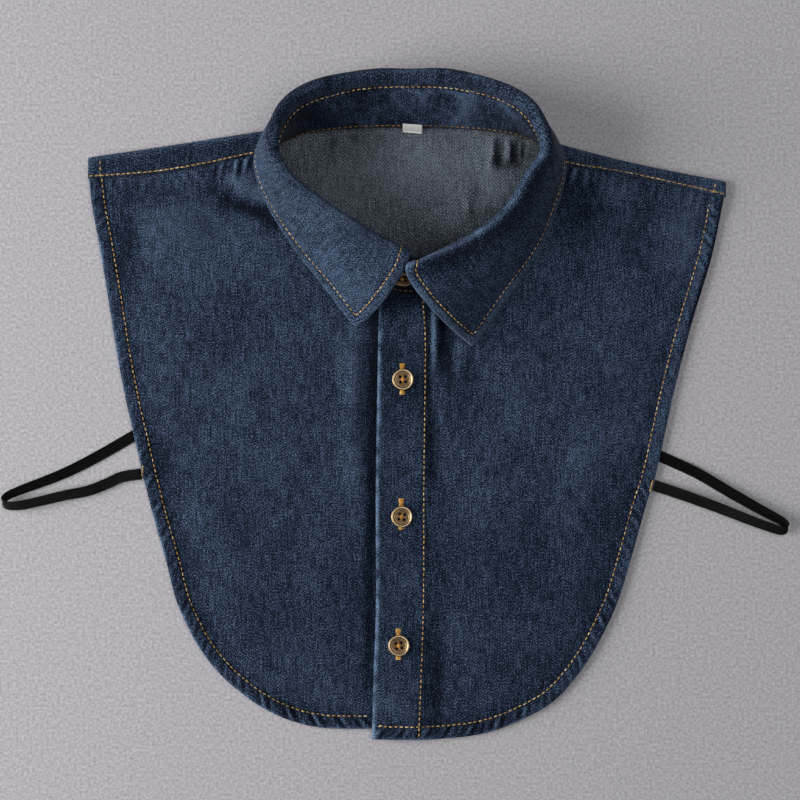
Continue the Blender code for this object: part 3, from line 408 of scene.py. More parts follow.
def fold_height(points, folds):
    """Sum of the creases at each point, each one fading at its sides and ends."""
    height = np.zeros(len(points))
    for x1, y1, x2, y2, width, rise in folds:
        run = np.array((x2 - x1, y2 - y1))
        length = hypot(*run)
        away = points - (x1, y1)
        along = (away @ run) / length**2
        across = (away[:, 1] * run[0] - away[:, 0] * run[1]) / length
        fade = ease(along / FOLD_FADE) * ease((1.0 - along) / FOLD_FADE)
        height += rise * fade * bell(across / width)
    return height


def painted_light_and_fading(points, patches):
    """How much paler or darker each point is painted, from patches of faded dye and of painted light and shade.
    """
    tone = np.zeros(len(points))
    for x, y, wide, high, amount in patches:
        tone += amount * bell(np.hypot((points[:, 0] - x) / wide, (points[:, 1] - y) / high))
    return tone


def ripple(points, seed, longest, shortest):
    """Smooth uneven relief of about -1 to 1, from waves whose lengths lie between the two given."""
    random = np.random.RandomState(seed)
    height = np.zeros(points.shape[:-1])
    for _ in range(18):
        turn = random.uniform(0.0, pi)
        wave = random.uniform(shortest, longest)
        phase = random.uniform(0.0, 2 * pi)
        height += np.sin((points[..., 0] * cos(turn) + points[..., 1] * sin(turn)) * 2 * pi / wave + phase)
    return height / 6.0


# Materials


def linear(code):
    """Linear colour of an sRGB hex value."""
    parts = [int(code[place:place + 2], 16) / 255 for place in (0, 2, 4)]
    return (*[part / 12.92 if part <= 0.04045 else ((part + 0.055) / 1.055) ** 2.4 for part in parts], 1.0)


def wire(node, inputs):
    """Sets inputs of a node, or links them to a socket or to another node's first output."""
    for socket, value in inputs.items():
        if isinstance(value, bpy.types.Node):
            value = value.outputs[0]
        if isinstance(value, bpy.types.NodeSocket):
            node.id_data.links.new(value, node.inputs[socket])
        else:
            node.inputs[socket].default_value = value


def add(tree, kind, inputs=None, stops=(), **settings):
    """Node with its settings, its fixed inputs and its links. stops are the places and colours of a ramp."""
    made = tree.nodes.new("ShaderNode" + kind)
    for name, value in settings.items():
        setattr(made, name, value)
    wire(made, inputs or {})
    if stops:
        marks = made.color_ramp.elements
        marks[0].position, marks[1].position = stops[0][0], stops[-1][0]
        for place, _ in stops[1:-1]:
            marks.new(place)
        for mark, (_, code) in zip(marks, stops):
            mark.color = linear(code)
    return made


def new_material(name, **fixed):
    """Material, its node tree, and its Principled shader with the constant values set."""
    made = bpy.data.materials.new(name)
    made.use_nodes = True
    shader = made.node_tree.nodes["Principled BSDF"]
    wire(shader, {socket.replace("_", " "): value for socket, value in fixed.items()})
    return made, made.node_tree, shader


# Denim's patterns: width and length of a mark in millimetres, and how strongly it tints the cloth. Its threads
# are about 0.4 mm apart, and are drawn twice as coarse so that they show
DENIM_PATTERNS = (
    (0.45, 0.95, 2.5),      # warp yarns
    (0.9, 0.45, 1.6),       # white weft showing between them
    (0.8, 12.0, 0.8),       # slubs along the warp
    (8.0, 0.7, 0.3),        # slubs along the weft
    (4.0, 6.0, 0.4),        # uneven dye
    (38.0, 52.0, 0.45),     # fading
)


def denim(name, deep, middle, pale, pale_wear_and_highlight, slant, contrast, twill_depth):
    """Cotton denim: a 3/1 twill of indigo warp over white weft, so pale specks in slanting lines on a dark
    ground, dull, a little hairy, and paled along folds and edges by abrasion and by painted highlights, with
    painted shade where its attribute is below 0."""
    made, tree, shader = new_material(
        name, Roughness=0.88, Specular_IOR_Level=0.12, Sheen_Weight=0.05, Sheen_Roughness=0.5
    )
    cloth = add(tree, "UVMap", uv_map="cloth")
    # Twill lines stand 1.4 mm apart here and about 1 mm on the real cloth
    turned = add(tree, "Mapping", {"Vector": cloth, "Rotation": (0.0, 0.0, radians(slant))})
    lines = {"Vector": turned, "Scale": 0.2244, "Distortion": 2.2, "Detail": 2.0, "Detail Scale": 2.5}
    twill = {0: add(tree, "TexWave", lines).outputs["Fac"], 1: twill_depth, 2: 0.5 - twill_depth / 2}
    total = add(tree, "Math", twill, operation="MULTIPLY_ADD")
    sums = []
    for width, length, strength in DENIM_PATTERNS:
        laid = add(tree, "Mapping", {"Vector": cloth, "Scale": (1.0 / width, 1.0 / length, 1.0)})
        mark = add(tree, "TexNoise", {"Vector": laid, "Scale": 1.0, "Detail": 1.5})
        tint = {0: mark, 1: strength * contrast, 2: -0.5 * strength * contrast}
        lifted = add(tree, "Math", tint, operation="MULTIPLY_ADD")
        total = add(tree, "Math", {0: total, 1: lifted}, operation="ADD")
        sums.append(total)
    # Attribute of abrasion and painted light: below 0 it deepens the tone as painted shade, above 0 it mixes in
    # the pale colour for abrasion and painted highlights
    wear_and_light_amount = add(tree, "Attribute", attribute_name="wear_and_painted_light").outputs["Fac"]
    sunk = add(tree, "Math", {0: wear_and_light_amount, 1: 0.0}, operation="MINIMUM")
    dye_and_painted_shade = add(tree, "Math", {0: sunk, 1: 0.45, 2: total}, operation="MULTIPLY_ADD")
    ramp = add(tree, "ValToRGB", {"Fac": dye_and_painted_shade}, ((0.08, deep), (0.5, middle), (0.95, pale)))
    patchy = add(tree, "Math", {0: total, 1: 0.85, 2: 0.2}, operation="MULTIPLY_ADD")
    share = add(tree, "Math", {0: wear_and_light_amount, 1: patchy}, operation="MULTIPLY", use_clamp=True)
    colour = add(tree, "Mix", {"Factor": share, "A": ramp, "B": linear(pale_wear_and_highlight)}, data_type="RGBA")
    relief = add(tree, "Bump", {"Height": sums[0], "Strength": 0.5, "Distance": 0.00025})
    wire(shader, {"Base Color": colour.outputs[2], "Normal": relief})
    return made


def cotton_thread(name, dark, middle, bright):
    """Golden topstitching thread: plied cotton-covered polyester, so a soft shine and small changes of tone
    from stitch to stitch."""
    made, tree, shader = new_material(name, Roughness=0.55, Specular_IOR_Level=0.4, Sheen_Weight=0.15)
    place = add(tree, "TexCoord").outputs["Object"]
    broad = add(tree, "TexNoise", {"Vector": place, "Scale": 240.0, "Detail": 2.0})
    ramp = add(tree, "ValToRGB", {"Fac": broad}, ((0.32, dark), (0.5, middle), (0.68, bright)))
    twist = add(tree, "TexNoise", {"Vector": place, "Scale": 2600.0, "Detail": 1.0})
    relief = add(tree, "Bump", {"Height": twist, "Strength": 0.5, "Distance": 0.0001})
    wire(shader, {"Base Color": ramp, "Normal": relief})
    return made


def antique_brass():
    """Cast button alloy plated in brass and darkened, then worn bright on its raised rim and step, with painted
    shade, near black, down inside its holes.
    """
    made, tree, shader = new_material("antique_brass_plate", Metallic=0.85)
    place = add(tree, "TexCoord").outputs["Object"]
    # The attribute is high where the raised rim and step are worn bright, and below 0 for painted shade inside
    # the holes
    proud_and_hole_shade = add(tree, "Attribute", attribute_name="proud_and_hole_shade").outputs["Fac"]
    cloud = add(tree, "TexNoise", {"Vector": place, "Scale": 900.0, "Detail": 3.0})
    share = add(tree, "Math", {0: cloud, 1: 0.5, 2: 0.0}, operation="MULTIPLY_ADD")
    share = add(tree, "Math", {0: share, 1: proud_and_hole_shade}, operation="ADD", use_clamp=True)
    ramp = add(tree, "ValToRGB", {"Fac": share}, ((0.0, "120d08"), (0.25, "7d6040"), (1.0, "f2d8ac")))
    dull = add(tree, "Math", {0: share, 1: -0.22, 2: 0.52}, operation="MULTIPLY_ADD")
    pits = add(tree, "Bump", {"Height": cloud, "Strength": 0.25, "Distance": 0.0001})
    wire(shader, {"Base Color": ramp, "Roughness": dull, "Normal": pits})
    return made


def ribbed_elastic():
    """Black braided elastic: matt polyester over rubber, with a painted grey sheen on the tops of its ribs here
    and there and painted shade in their grooves.
    """
    made, tree, shader = new_material(
        "black_braided_elastic", Roughness=0.55, Specular_IOR_Level=0.14, Sheen_Weight=0.01, Sheen_Roughness=0.4
    )
    cloth = add(tree, "UVMap", uv_map="cloth")
    laid = add(tree, "Mapping", {"Vector": cloth, "Scale": (1.2, 2.2, 1.0)})
    braid = add(tree, "TexNoise", {"Vector": laid, "Scale": 1.0, "Detail": 2.0})
    stretch = add(tree, "Mapping", {"Vector": cloth, "Scale": (0.045, 0.1, 1.0)})
    # Painted sheen: where these patches say, the tops of the ribs are painted lighter and the grooves darker
    painted_sheen_patches = add(tree, "TexNoise", {"Vector": stretch, "Scale": 1.0, "Detail": 2.0})
    ribs = add(tree, "Attribute", attribute_name="wear_and_painted_light").outputs["Fac"]
    raised = add(tree, "Math", {0: ribs, 1: painted_sheen_patches}, operation="MULTIPLY")
    share = add(tree, "Math", {0: braid, 1: 0.35, 2: raised}, operation="MULTIPLY_ADD")
    ramp = add(tree, "ValToRGB", {"Fac": share}, ((0.3, "030303"), (0.85, "2a2825")))
    relief = add(tree, "Bump", {"Height": braid, "Strength": 0.4, "Distance": 0.0002})
    wire(shader, {"Base Color": ramp, "Normal": relief})
    return made


def label_tape():
    """Bleached cotton tape in a fine plain weave: off-white and matt."""
    made, tree, shader = new_material("bleached_cotton_tape", Roughness=0.5, Sheen_Weight=0.3)
    laid = add(tree, "Mapping", {"Vector": add(tree, "UVMap", uv_map="cloth"), "Scale": (0.9, 2.4, 1.0)})
    weave = add(tree, "TexNoise", {"Vector": laid, "Scale": 1.0, "Detail": 2.0})
    ramp = add(tree, "ValToRGB", {"Fac": weave}, ((0.3, "f3f4ee"), (0.7, "fdfdf8")))
    relief = add(tree, "Bump", {"Height": weave, "Strength": 0.3, "Distance": 0.0001})
    wire(shader, {"Base Color": ramp, "Normal": relief})
    return made


def backdrop_paper():
    """Pale grey card with a fine tooth."""
    made, tree, shader = new_material("grey_card", Roughness=0.9, Specular_IOR_Level=0.1)
    place = add(tree, "TexCoord").outputs["Object"]
    tooth = add(tree, "TexNoise", {"Vector": place, "Scale": 620.0, "Detail": 3.0, "Roughness": 0.6})
    ramp = add(tree, "ValToRGB", {"Fac": tooth}, ((0.3, "b1aeb1"), (0.7, "dedbdf")))
    wire(shader, {"Base Color": ramp})
    return made


DENIM_FACE = denim("indigo_denim_twill", "050a14", "1a2941", "647a98", "7a94b6", 62.0, 1.0, 0.18)
DENIM_REVERSE = denim("indigo_denim_reverse", "1f252c", "505962", "98a2ad", "9aa5b1", -44.0, 0.85, 0.3)
THREAD_GOLD = cotton_thread("golden_topstitch_thread", "8e6c38", "cfa45c", "f6dba8")
THREAD_BUTTONHOLE = cotton_thread("golden_buttonhole_thread", "9a6a1e", "d3983c", "f4ca78")
THREAD_BROWN = cotton_thread("shaded_topstitch_thread", "6e4826", "a0743c", "c99c62")
BRASS = antique_brass()
ELASTIC = ribbed_elastic()
TAPE = label_tape()


# Sheets


def place_piece(name, mesh, node=None):
    """Object for a finished mesh. node is the solid that it replaces."""
    made = bpy.data.objects.new(name, mesh)
    bpy.context.scene.collection.objects.link(made)
    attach(made, "root")
    if node:
        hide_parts(node)
    return made


def finish_piece(node, layers, faces, slots, finishes, flat, wear_and_painted_light, slot):
    """Closed piece in place of a solid. layers are the points of its two surfaces, in millimetres, and slots
    says which finish each face has. flat gives each point's place on the flat cloth, and wear_and_painted_light
    how much each point is paled by abrasion and painted lighter or darker as light and shade."""
    name = node + ("_cloth" if slot == "denim" else "_tape")
    mesh = bpy.data.meshes.new(name)
    points = np.concatenate([layer.reshape(-1, 3) for layer in layers])
    mesh.from_pydata((points * MM).tolist(), [], faces)
    for finish in finishes:
        mesh.materials.append(finish)
    mesh.polygons.foreach_set("material_index", slots)
    corners = np.empty(len(mesh.loops), int)
    mesh.loops.foreach_get("vertex_index", corners)
    places = np.tile(flat.reshape(-1, 2), (2, 1))
    mesh.uv_layers.new(name="cloth").data.foreach_set("uv", places[corners].ravel())
    mesh.attributes.new("wear_and_painted_light", "FLOAT", "POINT").data.foreach_set("value", np.tile(wear_and_painted_light.ravel(), 2))
    mesh.shade_smooth()
    mesh.validate()
    mesh.update()
    return place_piece(name, mesh, node)


def joined(*stretches):
    """Closed outline from several stretches, with shared corners taken once."""
    points = []
    for point in np.vstack(stretches):
        if not points or hypot(*(points[-1] - point)) > SAME_CORNER:
            points.append(point)
    if hypot(*(points[0] - points[-1])) < SAME_CORNER:
        points.pop()
    return np.array(points)


def evened(outline, step):
    """Closed outline with its corners kept and points added along its longer stretches."""
    result = []
    for start, end in zip(outline, np.roll(outline, -1, axis=0)):
        count = max(1, int(round(np.hypot(*(end - start)) / step)))
        for share in np.arange(count) / count:
            result.append(start + (end - start) * share)
    return np.array(result)


def triangulated(outline, rings, step, creases):
    """Flat points and triangles of a panel: rings of points just inside its edge, and an even spread further
    in. The creases are lines that edges of triangles follow."""
    rim = np.vstack((outline, outline[:1]))
    run = np.roll(outline, -1, axis=0) - np.roll(outline, 1, axis=0)
    side = unit(np.column_stack((-run[:, 1], run[:, 0])))
    area = np.sum(outline[:, 0] * np.roll(outline[:, 1], -1) - np.roll(outline[:, 0], -1) * outline[:, 1])
    side *= np.sign(area)
    points = [outline]
    for depth in rings:
        ring = outline + side * depth
        ring = ring[inside(ring, outline)]
        away, _ = beside_line(ring, rim)
        points.append(ring[away > 0.95 * depth])
    low = outline.min(axis=0)
    high = outline.max(axis=0)
    spread = []
    for row, y in enumerate(np.arange(low[1], high[1], step * 0.87)):
        spread += [(x, y) for x in np.arange(low[0] + (row % 2) * step / 2, high[0], step)]
    spread = np.array(spread)
    spread = spread[inside(spread, outline)]
    away, _ = beside_line(spread, rim)
    spread = spread[away > max(rings, default=0.0) + step * 0.6]
    for crease in creases:
        spread = spread[beside_line(spread, crease)[0] > step * 0.4]
    points = list(np.concatenate((*points, spread)))
    edges = []
    for crease in creases:
        numbers = []
        known = np.array(points)
        for place in crease:
            away = np.hypot(*(known - place).T)
            if away.min() > 0.05:
                points.append(place)
                numbers.append(len(points) - 1)
            else:
                numbers.append(int(away.argmin()))
        edges += zip(numbers[:-1], numbers[1:])
    result = delaunay_2d_cdt([Vector(point) for point in points], edges, [list(range(len(outline)))], 1, 0.0001)
    flat = np.array([tuple(point) for point in result[0]])
    return flat, [tuple(face) for face in result[2]]


def closed_sheet(node, flat, triangles, layers, wear_and_painted_light, finishes):
    """Closed cloth sheet from its lower and upper surfaces over the same flat points."""
    shift = len(flat)
    faces = [tuple(shift + corner for corner in triangle) for triangle in triangles]
    faces += [triangle[::-1] for triangle in triangles]
    slots = [0] * len(triangles) + [1] * len(triangles)
    edges = dict.fromkeys(
        edge for triangle in triangles for edge in zip(triangle, triangle[1:] + triangle[:1])
    )
    for first, second in edges:
        if (second, first) not in edges:
            faces.append((first, second, shift + second, shift + first))
            slots.append(0)
    return finish_piece(node, layers, faces, slots, finishes, flat, wear_and_painted_light, "denim")


def neck_line(first, last):
    """Where the stand is sewn on, between two rows of the collar's table."""
    return np.array([row[:2] for row in COLLAR_SECTIONS[first:last + 1]])


def inward(line, amount):
    """A neck line moved towards the middle of the neck."""
    return line - unit(line - NECK_CENTRE) * amount


def shoulder_seam(seam, ends):
    """Edge of a front along the shoulder, from one end to the other."""
    places = np.linspace(*ends, FRONT_SHOULDER_POINTS)
    return np.column_stack((places, y_at(seam, places) - SEAM_GAP))


def puckers(along, across, spacing, slant, sway=0.0, reach=1.0):
    """Ridges of about -1 to 1 that a seam draws into the cloth: spaced along it, slanting as they leave it, and
    swaying to and fro over some reach."""
    return np.sin(along * 2 * pi / spacing + across * slant + sway * np.sin(along / reach))


class Front:
    """One front: its outline, and its surfaces as functions of a place on the flat cloth."""

    def __init__(self, outline, hem, seam, neck, folds, patches, gathered, pinched, seed):
        self.outline = evened(outline, EDGE_STEP)
        self.rim = np.vstack((self.outline, self.outline[:1]))
        self.hem = smooth_rows(hem, 8)
        self.seam = seam
        self.neck = neck
        self.folds = folds
        self.patches = patches
        self.gathered = gathered        # where along the hem its puckers are strongest
        self.pinched = pinched          # where along the shoulder its gathers are strongest
        self.seed = seed

    def lift(self, flat, from_rim, free):
        """Rise of the cloth off what lies under it. free is how far a point is from the stitching that holds it
        down inside its edge."""
        inner = np.minimum(from_rim, free)
        lift = LOFT * ease((inner - FLAT_BORDER) / LOFT_REACH)
        lift *= ease(beside_line(flat, self.neck)[0] / NECK_REACH)
        lift += fold_height(flat, self.folds) * ease(from_rim / CREASE_REACH)
        soft = ripple(flat, self.seed, 90.0, 32.0) * 0.42 + ripple(flat, self.seed + 1, 26.0, 12.0) * 0.12
        return lift + soft * ease((inner - 6.0) / 14.0)

    def edge_relief(self, flat, from_rim):
        """What the hem and the shoulder seam add to the cloth's upper surface, and the paling by abrasion and
        the painted light and shade there.
        """
        x, y = flat.T
        away, place = beside_line(flat, self.hem)
        band = 1.0 - ease((away - HEM_WIDTH) / STEP_WIDTH + 0.4)
        uneven = 0.5 + 0.35 * np.sin(place / 37.0 + self.seed) + 0.3 * np.sin(place / 13.0)
        uneven += 1.1 * bell((place - self.gathered) / 95.0)
        ropes = puckers(place, away, 5.6, 0.85, 1.4, 21.0) + 0.6 * puckers(place, away, 8.9, 0.6)
        pulled = ropes * uneven * (0.42 * bell((away - 4.0) / 3.0) + 0.14 * bell((away - 10.5) / 3.5))
        relief = HEM_EXTRA * band + pulled - GROOVE * bell((away - HEM_STITCH_IN) / 0.8)
        below = y_at(self.seam, x) - y
        gathers = puckers(x, below, 4.6, 0.25, 1.7, 9.0) + 0.7 * puckers(x, below, 7.3, 0.15)
        tight = 0.95 + 1.25 * bell((x - self.pinched) / 20.0)
        relief += 0.26 * tight * gathers * ease(below / 2.0) * (1.0 - ease((below - 2.0) / 13.0))
        # A pale line along the hem's edge, from abrasion and as a painted highlight; painted light and shade
        # following the hem's puckers; painted shade in a band inside the hem, along its stitching and past it;
        # painted light and shade on the shoulder gathers
        pale_wear_and_highlight = np.clip(0.45 + 0.5 * np.sin(place / 9.0 + self.seed) + 0.35 * np.sin(place / 3.1), 0.0, 1.0)
        wear_and_painted_light = 0.9 * pale_wear_and_highlight * bell(away / 0.8) + 0.42 * uneven * bell((away - 3.8) / 3.2) * (ropes - 0.3)
        wear_and_painted_light -= 0.22 * bell((away - 4.0) / 2.5)
        wear_and_painted_light -= 0.4 * bell((away - HEM_STITCH_IN) / 1.3) + 0.2 * bell((away - 11.0) / 3.0)
        wear_and_painted_light += 0.25 * tight * (gathers + 0.1) * ease(below / 2.0) * (1.0 - ease((below - 3.0) / 12.0))
        return relief - 0.7 * CLOTH * (1.0 - ease(from_rim / 1.6)), wear_and_painted_light

    def shoulder(self, flat):
        """Rise of the cloth where it meets the back panel's bend."""
        below = y_at(self.seam, flat[:, 0]) - flat[:, 1]
        return FOLD_RADIUS * (1.0 - ease(below / SHOULDER_REACH))


class RightFront(Front):
    """Front that lies underneath, out to the edge of its button strip."""

    def surfaces(self, flat):
        """Heights of both surfaces, and how much the cloth is paled by abrasion and painted lighter or darker as
        light and shade.
        """
        from_rim, _ = beside_line(flat, self.rim)
        room = ease((x_at(PLACKET_FOLD, flat[:, 1]) - LAP_START - flat[:, 0]) / LAP_FALL)
        lift = np.maximum(self.lift(flat, from_rim, np.inf) * room, 0.0)
        low = CLOTH + SEAM_GAP + lift + self.shoulder(flat)
        relief, wear_and_painted_light = self.edge_relief(flat, from_rim)
        under = ease((flat[:, 0] + 14.0) / 4.0)
        return low, low + CLOTH + relief * (1.0 - 0.5 * under), wear_and_painted_light + painted_light_and_fading(flat, self.patches)


class LeftFront(Front):
    """Front that lies on top, with its folded placket over the other front's button strip."""

    def surfaces(self, flat):
        """Heights of both surfaces, and how much the cloth is paled by abrasion and painted lighter or darker as
        light and shade.
        """
        x, y = flat.T
        from_rim, _ = beside_line(flat, self.rim)
        beyond = x - x_at(PLACKET_STITCH, y)
        over = CLOTH + SEAM_GAP + HEM_EXTRA * (1.0 - ease((y - LOWER_HEM_TOP) / STEP_WIDTH / 10.0))
        over *= 1.0 - ease((beyond - LAP_START) / LAP_SLOPE)
        lift = self.lift(flat, from_rim, beyond) * ease((beyond - 1.0) / 5.0)
        low = CLOTH + SEAM_GAP + np.maximum(over + lift, 0.0) + self.shoulder(flat)

        relief, wear_and_painted_light = self.edge_relief(flat, from_rim)
        placket = 1.0 - ease((beyond - PLACKET_EDGE) / STEP_WIDTH)
        relief += (np.maximum(relief, PLACKET_EXTRA) - relief) * placket
        relief += 0.16 * ripple(flat, 31, 30.0, 12.0) * placket * ease(from_rim / 5.0)
        stitch = PLACKET_STITCH_SHIFT - beyond
        relief -= GROOVE * bell(stitch / 0.8)
        relief += 0.14 * puckers(y, stitch, 5.8, 0.4, 1.3, 17.0) * bell((stitch - 2.0) / 3.5)
        from_fold = x - x_at(PLACKET_FOLD, y)
        relief -= 0.6 * (1.0 - ease(from_fold / 1.6))

        pale_wear_and_highlight = 0.62 + 0.35 * np.sin(y / 11.0 + 1.0) + 0.3 * np.sin(y / 1.9)
        pale_wear_and_highlight += 0.5 * bell((y + 193.0) / 6.0)
        # Painted shade along the placket's stitching; on the wearer's left, a paler band inside the hem and a
        # painted shadow along its outer edge higher up the side
        wear_and_painted_light += painted_light_and_fading(flat, self.patches) * ease(beyond / 2.0) - 0.35 * bell(stitch / 1.2)
        away, _ = beside_line(flat, self.hem)
        side = ease((x - 60.0) / 40.0)
        wear_and_painted_light += 0.36 * bell((away - 4.2) / 3.4) * side
        wear_and_painted_light -= (wear_and_painted_light + 0.9) * bell(away / 1.5) * side * ease((y - 10.0) / 50.0)
        # Pale line along the placket's fold, partly from abrasion and partly a painted highlight
        wear_and_light_amount = bell((from_fold - 0.5) / 1.4)
        wear_and_painted_light += (1.45 * np.clip(pale_wear_and_highlight, 0.0, 1.0) - wear_and_painted_light) * wear_and_light_amount
        # Painted light and shade across the placket, darkest as painted shade under the collar
        wear_and_painted_light += (painted_light_and_fading(flat, PLACKET_PAINTED_LIGHT_AND_FADING) + 0.12 * ripple(flat, 33, 24.0, 9.0)) * placket * (1.0 - wear_and_light_amount)
        return low, low + CLOTH + relief, wear_and_painted_light


def make_fronts():
    """Both fronts, each as one closed sheet."""
    neck = inward(smooth_rows(neck_line(0, 6), 10), NECK_LIP)
    neck = neck[neck[:, 0] < BUTTON_STRIP_EDGE - 1.0]
    strip = [(BUTTON_STRIP_EDGE, RIGHT_HEM[-1][1]), (BUTTON_STRIP_EDGE, neck[0, 1])]
    seam = shoulder_seam(RIGHT_SEAM, RIGHT_SHOULDER_X)[::-1]
    outline = joined(even_line(RIGHT_HEM, EDGE_STEP), strip, neck, seam)
    folds = RIGHT_FRONT_FOLDS + RIGHT_SMALL_FOLDS
    right = RightFront(
        outline, RIGHT_HEM, RIGHT_SEAM, neck, folds, RIGHT_PAINTED_LIGHT_AND_FADING, gathered=345.0, pinched=-88.0, seed=3
    )

    neck = inward(smooth_rows(neck_line(16, 22), 10), NECK_LIP)[::-1]
    seam = shoulder_seam(LEFT_SEAM, LEFT_SHOULDER_X)
    fold = even_line(PLACKET_FOLD, EDGE_STEP)[::-1]
    neck = neck[neck[:, 0] > fold[-1, 0]]
    outline = joined(even_line(LEFT_HEM, EDGE_STEP), fold, neck, seam)
    folds = LEFT_FRONT_FOLDS + LEFT_SMALL_FOLDS
    left = LeftFront(
        outline, LEFT_HEM, LEFT_SEAM, neck, folds, LEFT_PAINTED_LIGHT_AND_FADING, gathered=380.0, pinched=104.0, seed=8
    )

    for node, front in (("right_front", right), ("left_front", left)):
        flat, triangles = triangulated(front.outline, BORDER_RINGS, SHEET_STEP, [])
        low, high, wear_and_painted_light = front.surfaces(flat)
        layers = [np.column_stack((flat, heights)) for heights in (low, high)]
        closed_sheet(node, flat, triangles, layers, wear_and_painted_light, (DENIM_FACE, DENIM_REVERSE))
    return right, left


def back_edge(hem, side):
    """Edge of the back panel, drawn in under a front's hem."""
    line = even_line(hem, 6.0)
    return offset_line(line, side * OVERHANG * ease((128.0 - line[:, 1]) / 40.0))


def shoulder_strip(fold, seam, ends):
    """Strip that turns over a shoulder, on the flat cloth: its edge, and the lines of its bend."""
    places = np.linspace(*ends, BACK_SHOULDER_POINTS)
    crest = y_at(fold, places)
    far = np.column_stack((places, crest + FOLD_TURN + crest - y_at(seam, places)))
    bend = [np.column_stack((places, crest + share * FOLD_TURN)) for share in np.linspace(0.0, 1.0, 8)]
    edge = ([line[0] for line in bend], far, [line[-1] for line in bend[::-1]])
    return np.vstack(edge), bend


def make_back_panel():
    """Back panel: reverse side up inside the neck, and turned over at each shoulder so that its face shows."""
    right_edge, right_bend = shoulder_strip(RIGHT_FOLD, RIGHT_SEAM, RIGHT_SHOULDER_X)
    left_edge, left_bend = shoulder_strip(LEFT_FOLD, LEFT_SEAM, LEFT_SHOULDER_X)
    back_neck = inward(smooth_rows(neck_line(9, 13), 8), -NECK_LIP)
    outline = joined(
        back_edge(RIGHT_HEM[:-1], 1.0)[::-1], right_edge, RIGHT_NECK_CORNER,
        back_neck, LEFT_NECK_CORNER, left_edge, back_edge(LEFT_HEM[:-1], -1.0),
    )
    rows = np.linspace(*NECK_FOLD_Y, 12)
    close = [np.column_stack((np.full(12, x), rows)) for x in np.arange(*NECK_FOLD_X, 1.1)]
    flat, triangles = triangulated(outline, (), BACK_STEP, right_bend + left_bend + close)

    x, y = flat.T
    between_shoulders = (x > -62.0) & (x < 76.0)
    past = np.where(between_shoulders, -1.0, y - np.where(x < 0.0, y_at(RIGHT_FOLD, x), y_at(LEFT_FOLD, x)))
    angle = np.clip(past / FOLD_RADIUS, 0.0, pi)
    in_neck = (y > 60.0) & (past <= 0.0)
    rise = fold_height(flat, NECK_FOLDS) + 0.3 + 0.3 * ripple(flat, 17, 40.0, 16.0)
    rise = np.maximum(rise, 0.0) * in_neck * ease((y - 85.0) / 12.0)
    opening = smooth_rows(neck_line(0, LAST_SECTION), 8)
    rise *= inside(flat, opening) * ease((beside_line(flat, opening)[0] - 2.5) / 6.0)

    def bent(above):
        """Surface of the bent cloth at a height above its underside."""
        depth = FOLD_RADIUS + CLOTH / 2 - above
        run = np.minimum(past, 0.0) - np.maximum(past - FOLD_TURN, 0.0) + depth * np.sin(angle)
        return np.column_stack((x, y - past + run, FOLD_RADIUS + CLOTH / 2 - depth * np.cos(angle) + rise))

    strip = np.maximum(past - FOLD_TURN, 0.0)
    soft = 0.1 * ripple(flat, 23, 24.0, 9.0) * ease(strip / 3.0)
    layers = (bent(soft), bent(CLOTH - 0.2 * ease(strip / 2.0)))
    # Paler along the middle of each shoulder's bend; inside the neck, painted light at the middle, painted shade
    # towards the bottom and in the troughs of its folds, and painted highlights on their ridges; the turned
    # strip on the wearer's right is darker
    wear_and_painted_light = 0.35 * bell((past - FOLD_TURN / 2) / 1.6) + painted_light_and_fading(flat, REVERSE_PAINTED_LIGHT_AND_FADING) * in_neck
    wear_and_painted_light -= 0.32 * ease(strip / 1.5) * (x < 0.0)
    made = closed_sheet("back_panel", flat, triangles, layers, wear_and_painted_light, (DENIM_REVERSE, DENIM_FACE))


# Collar


def compass(turn):
    """Level unit vector that points to a heading."""
    return np.array((cos(radians(turn)), sin(radians(turn)), 0.0))


def section_at(place):
    """Section of the collar at a place counted in rows of its table."""
    return Section(*between(place * CURVE_STEPS, np.arange(len(SECTION_CURVE)), SECTION_CURVE))


def stand_section(section, count):
    """Middle of the stand's wall, from its seam up to where the leaf is sewn in."""
    lean = radians(section.lean)
    up = compass(section.stand_turn) * sin(lean) + UPWARD * cos(lean)
    return [np.array(section[:3]) + up * share * section.height for share in np.linspace(0.0, 1.0, count)]


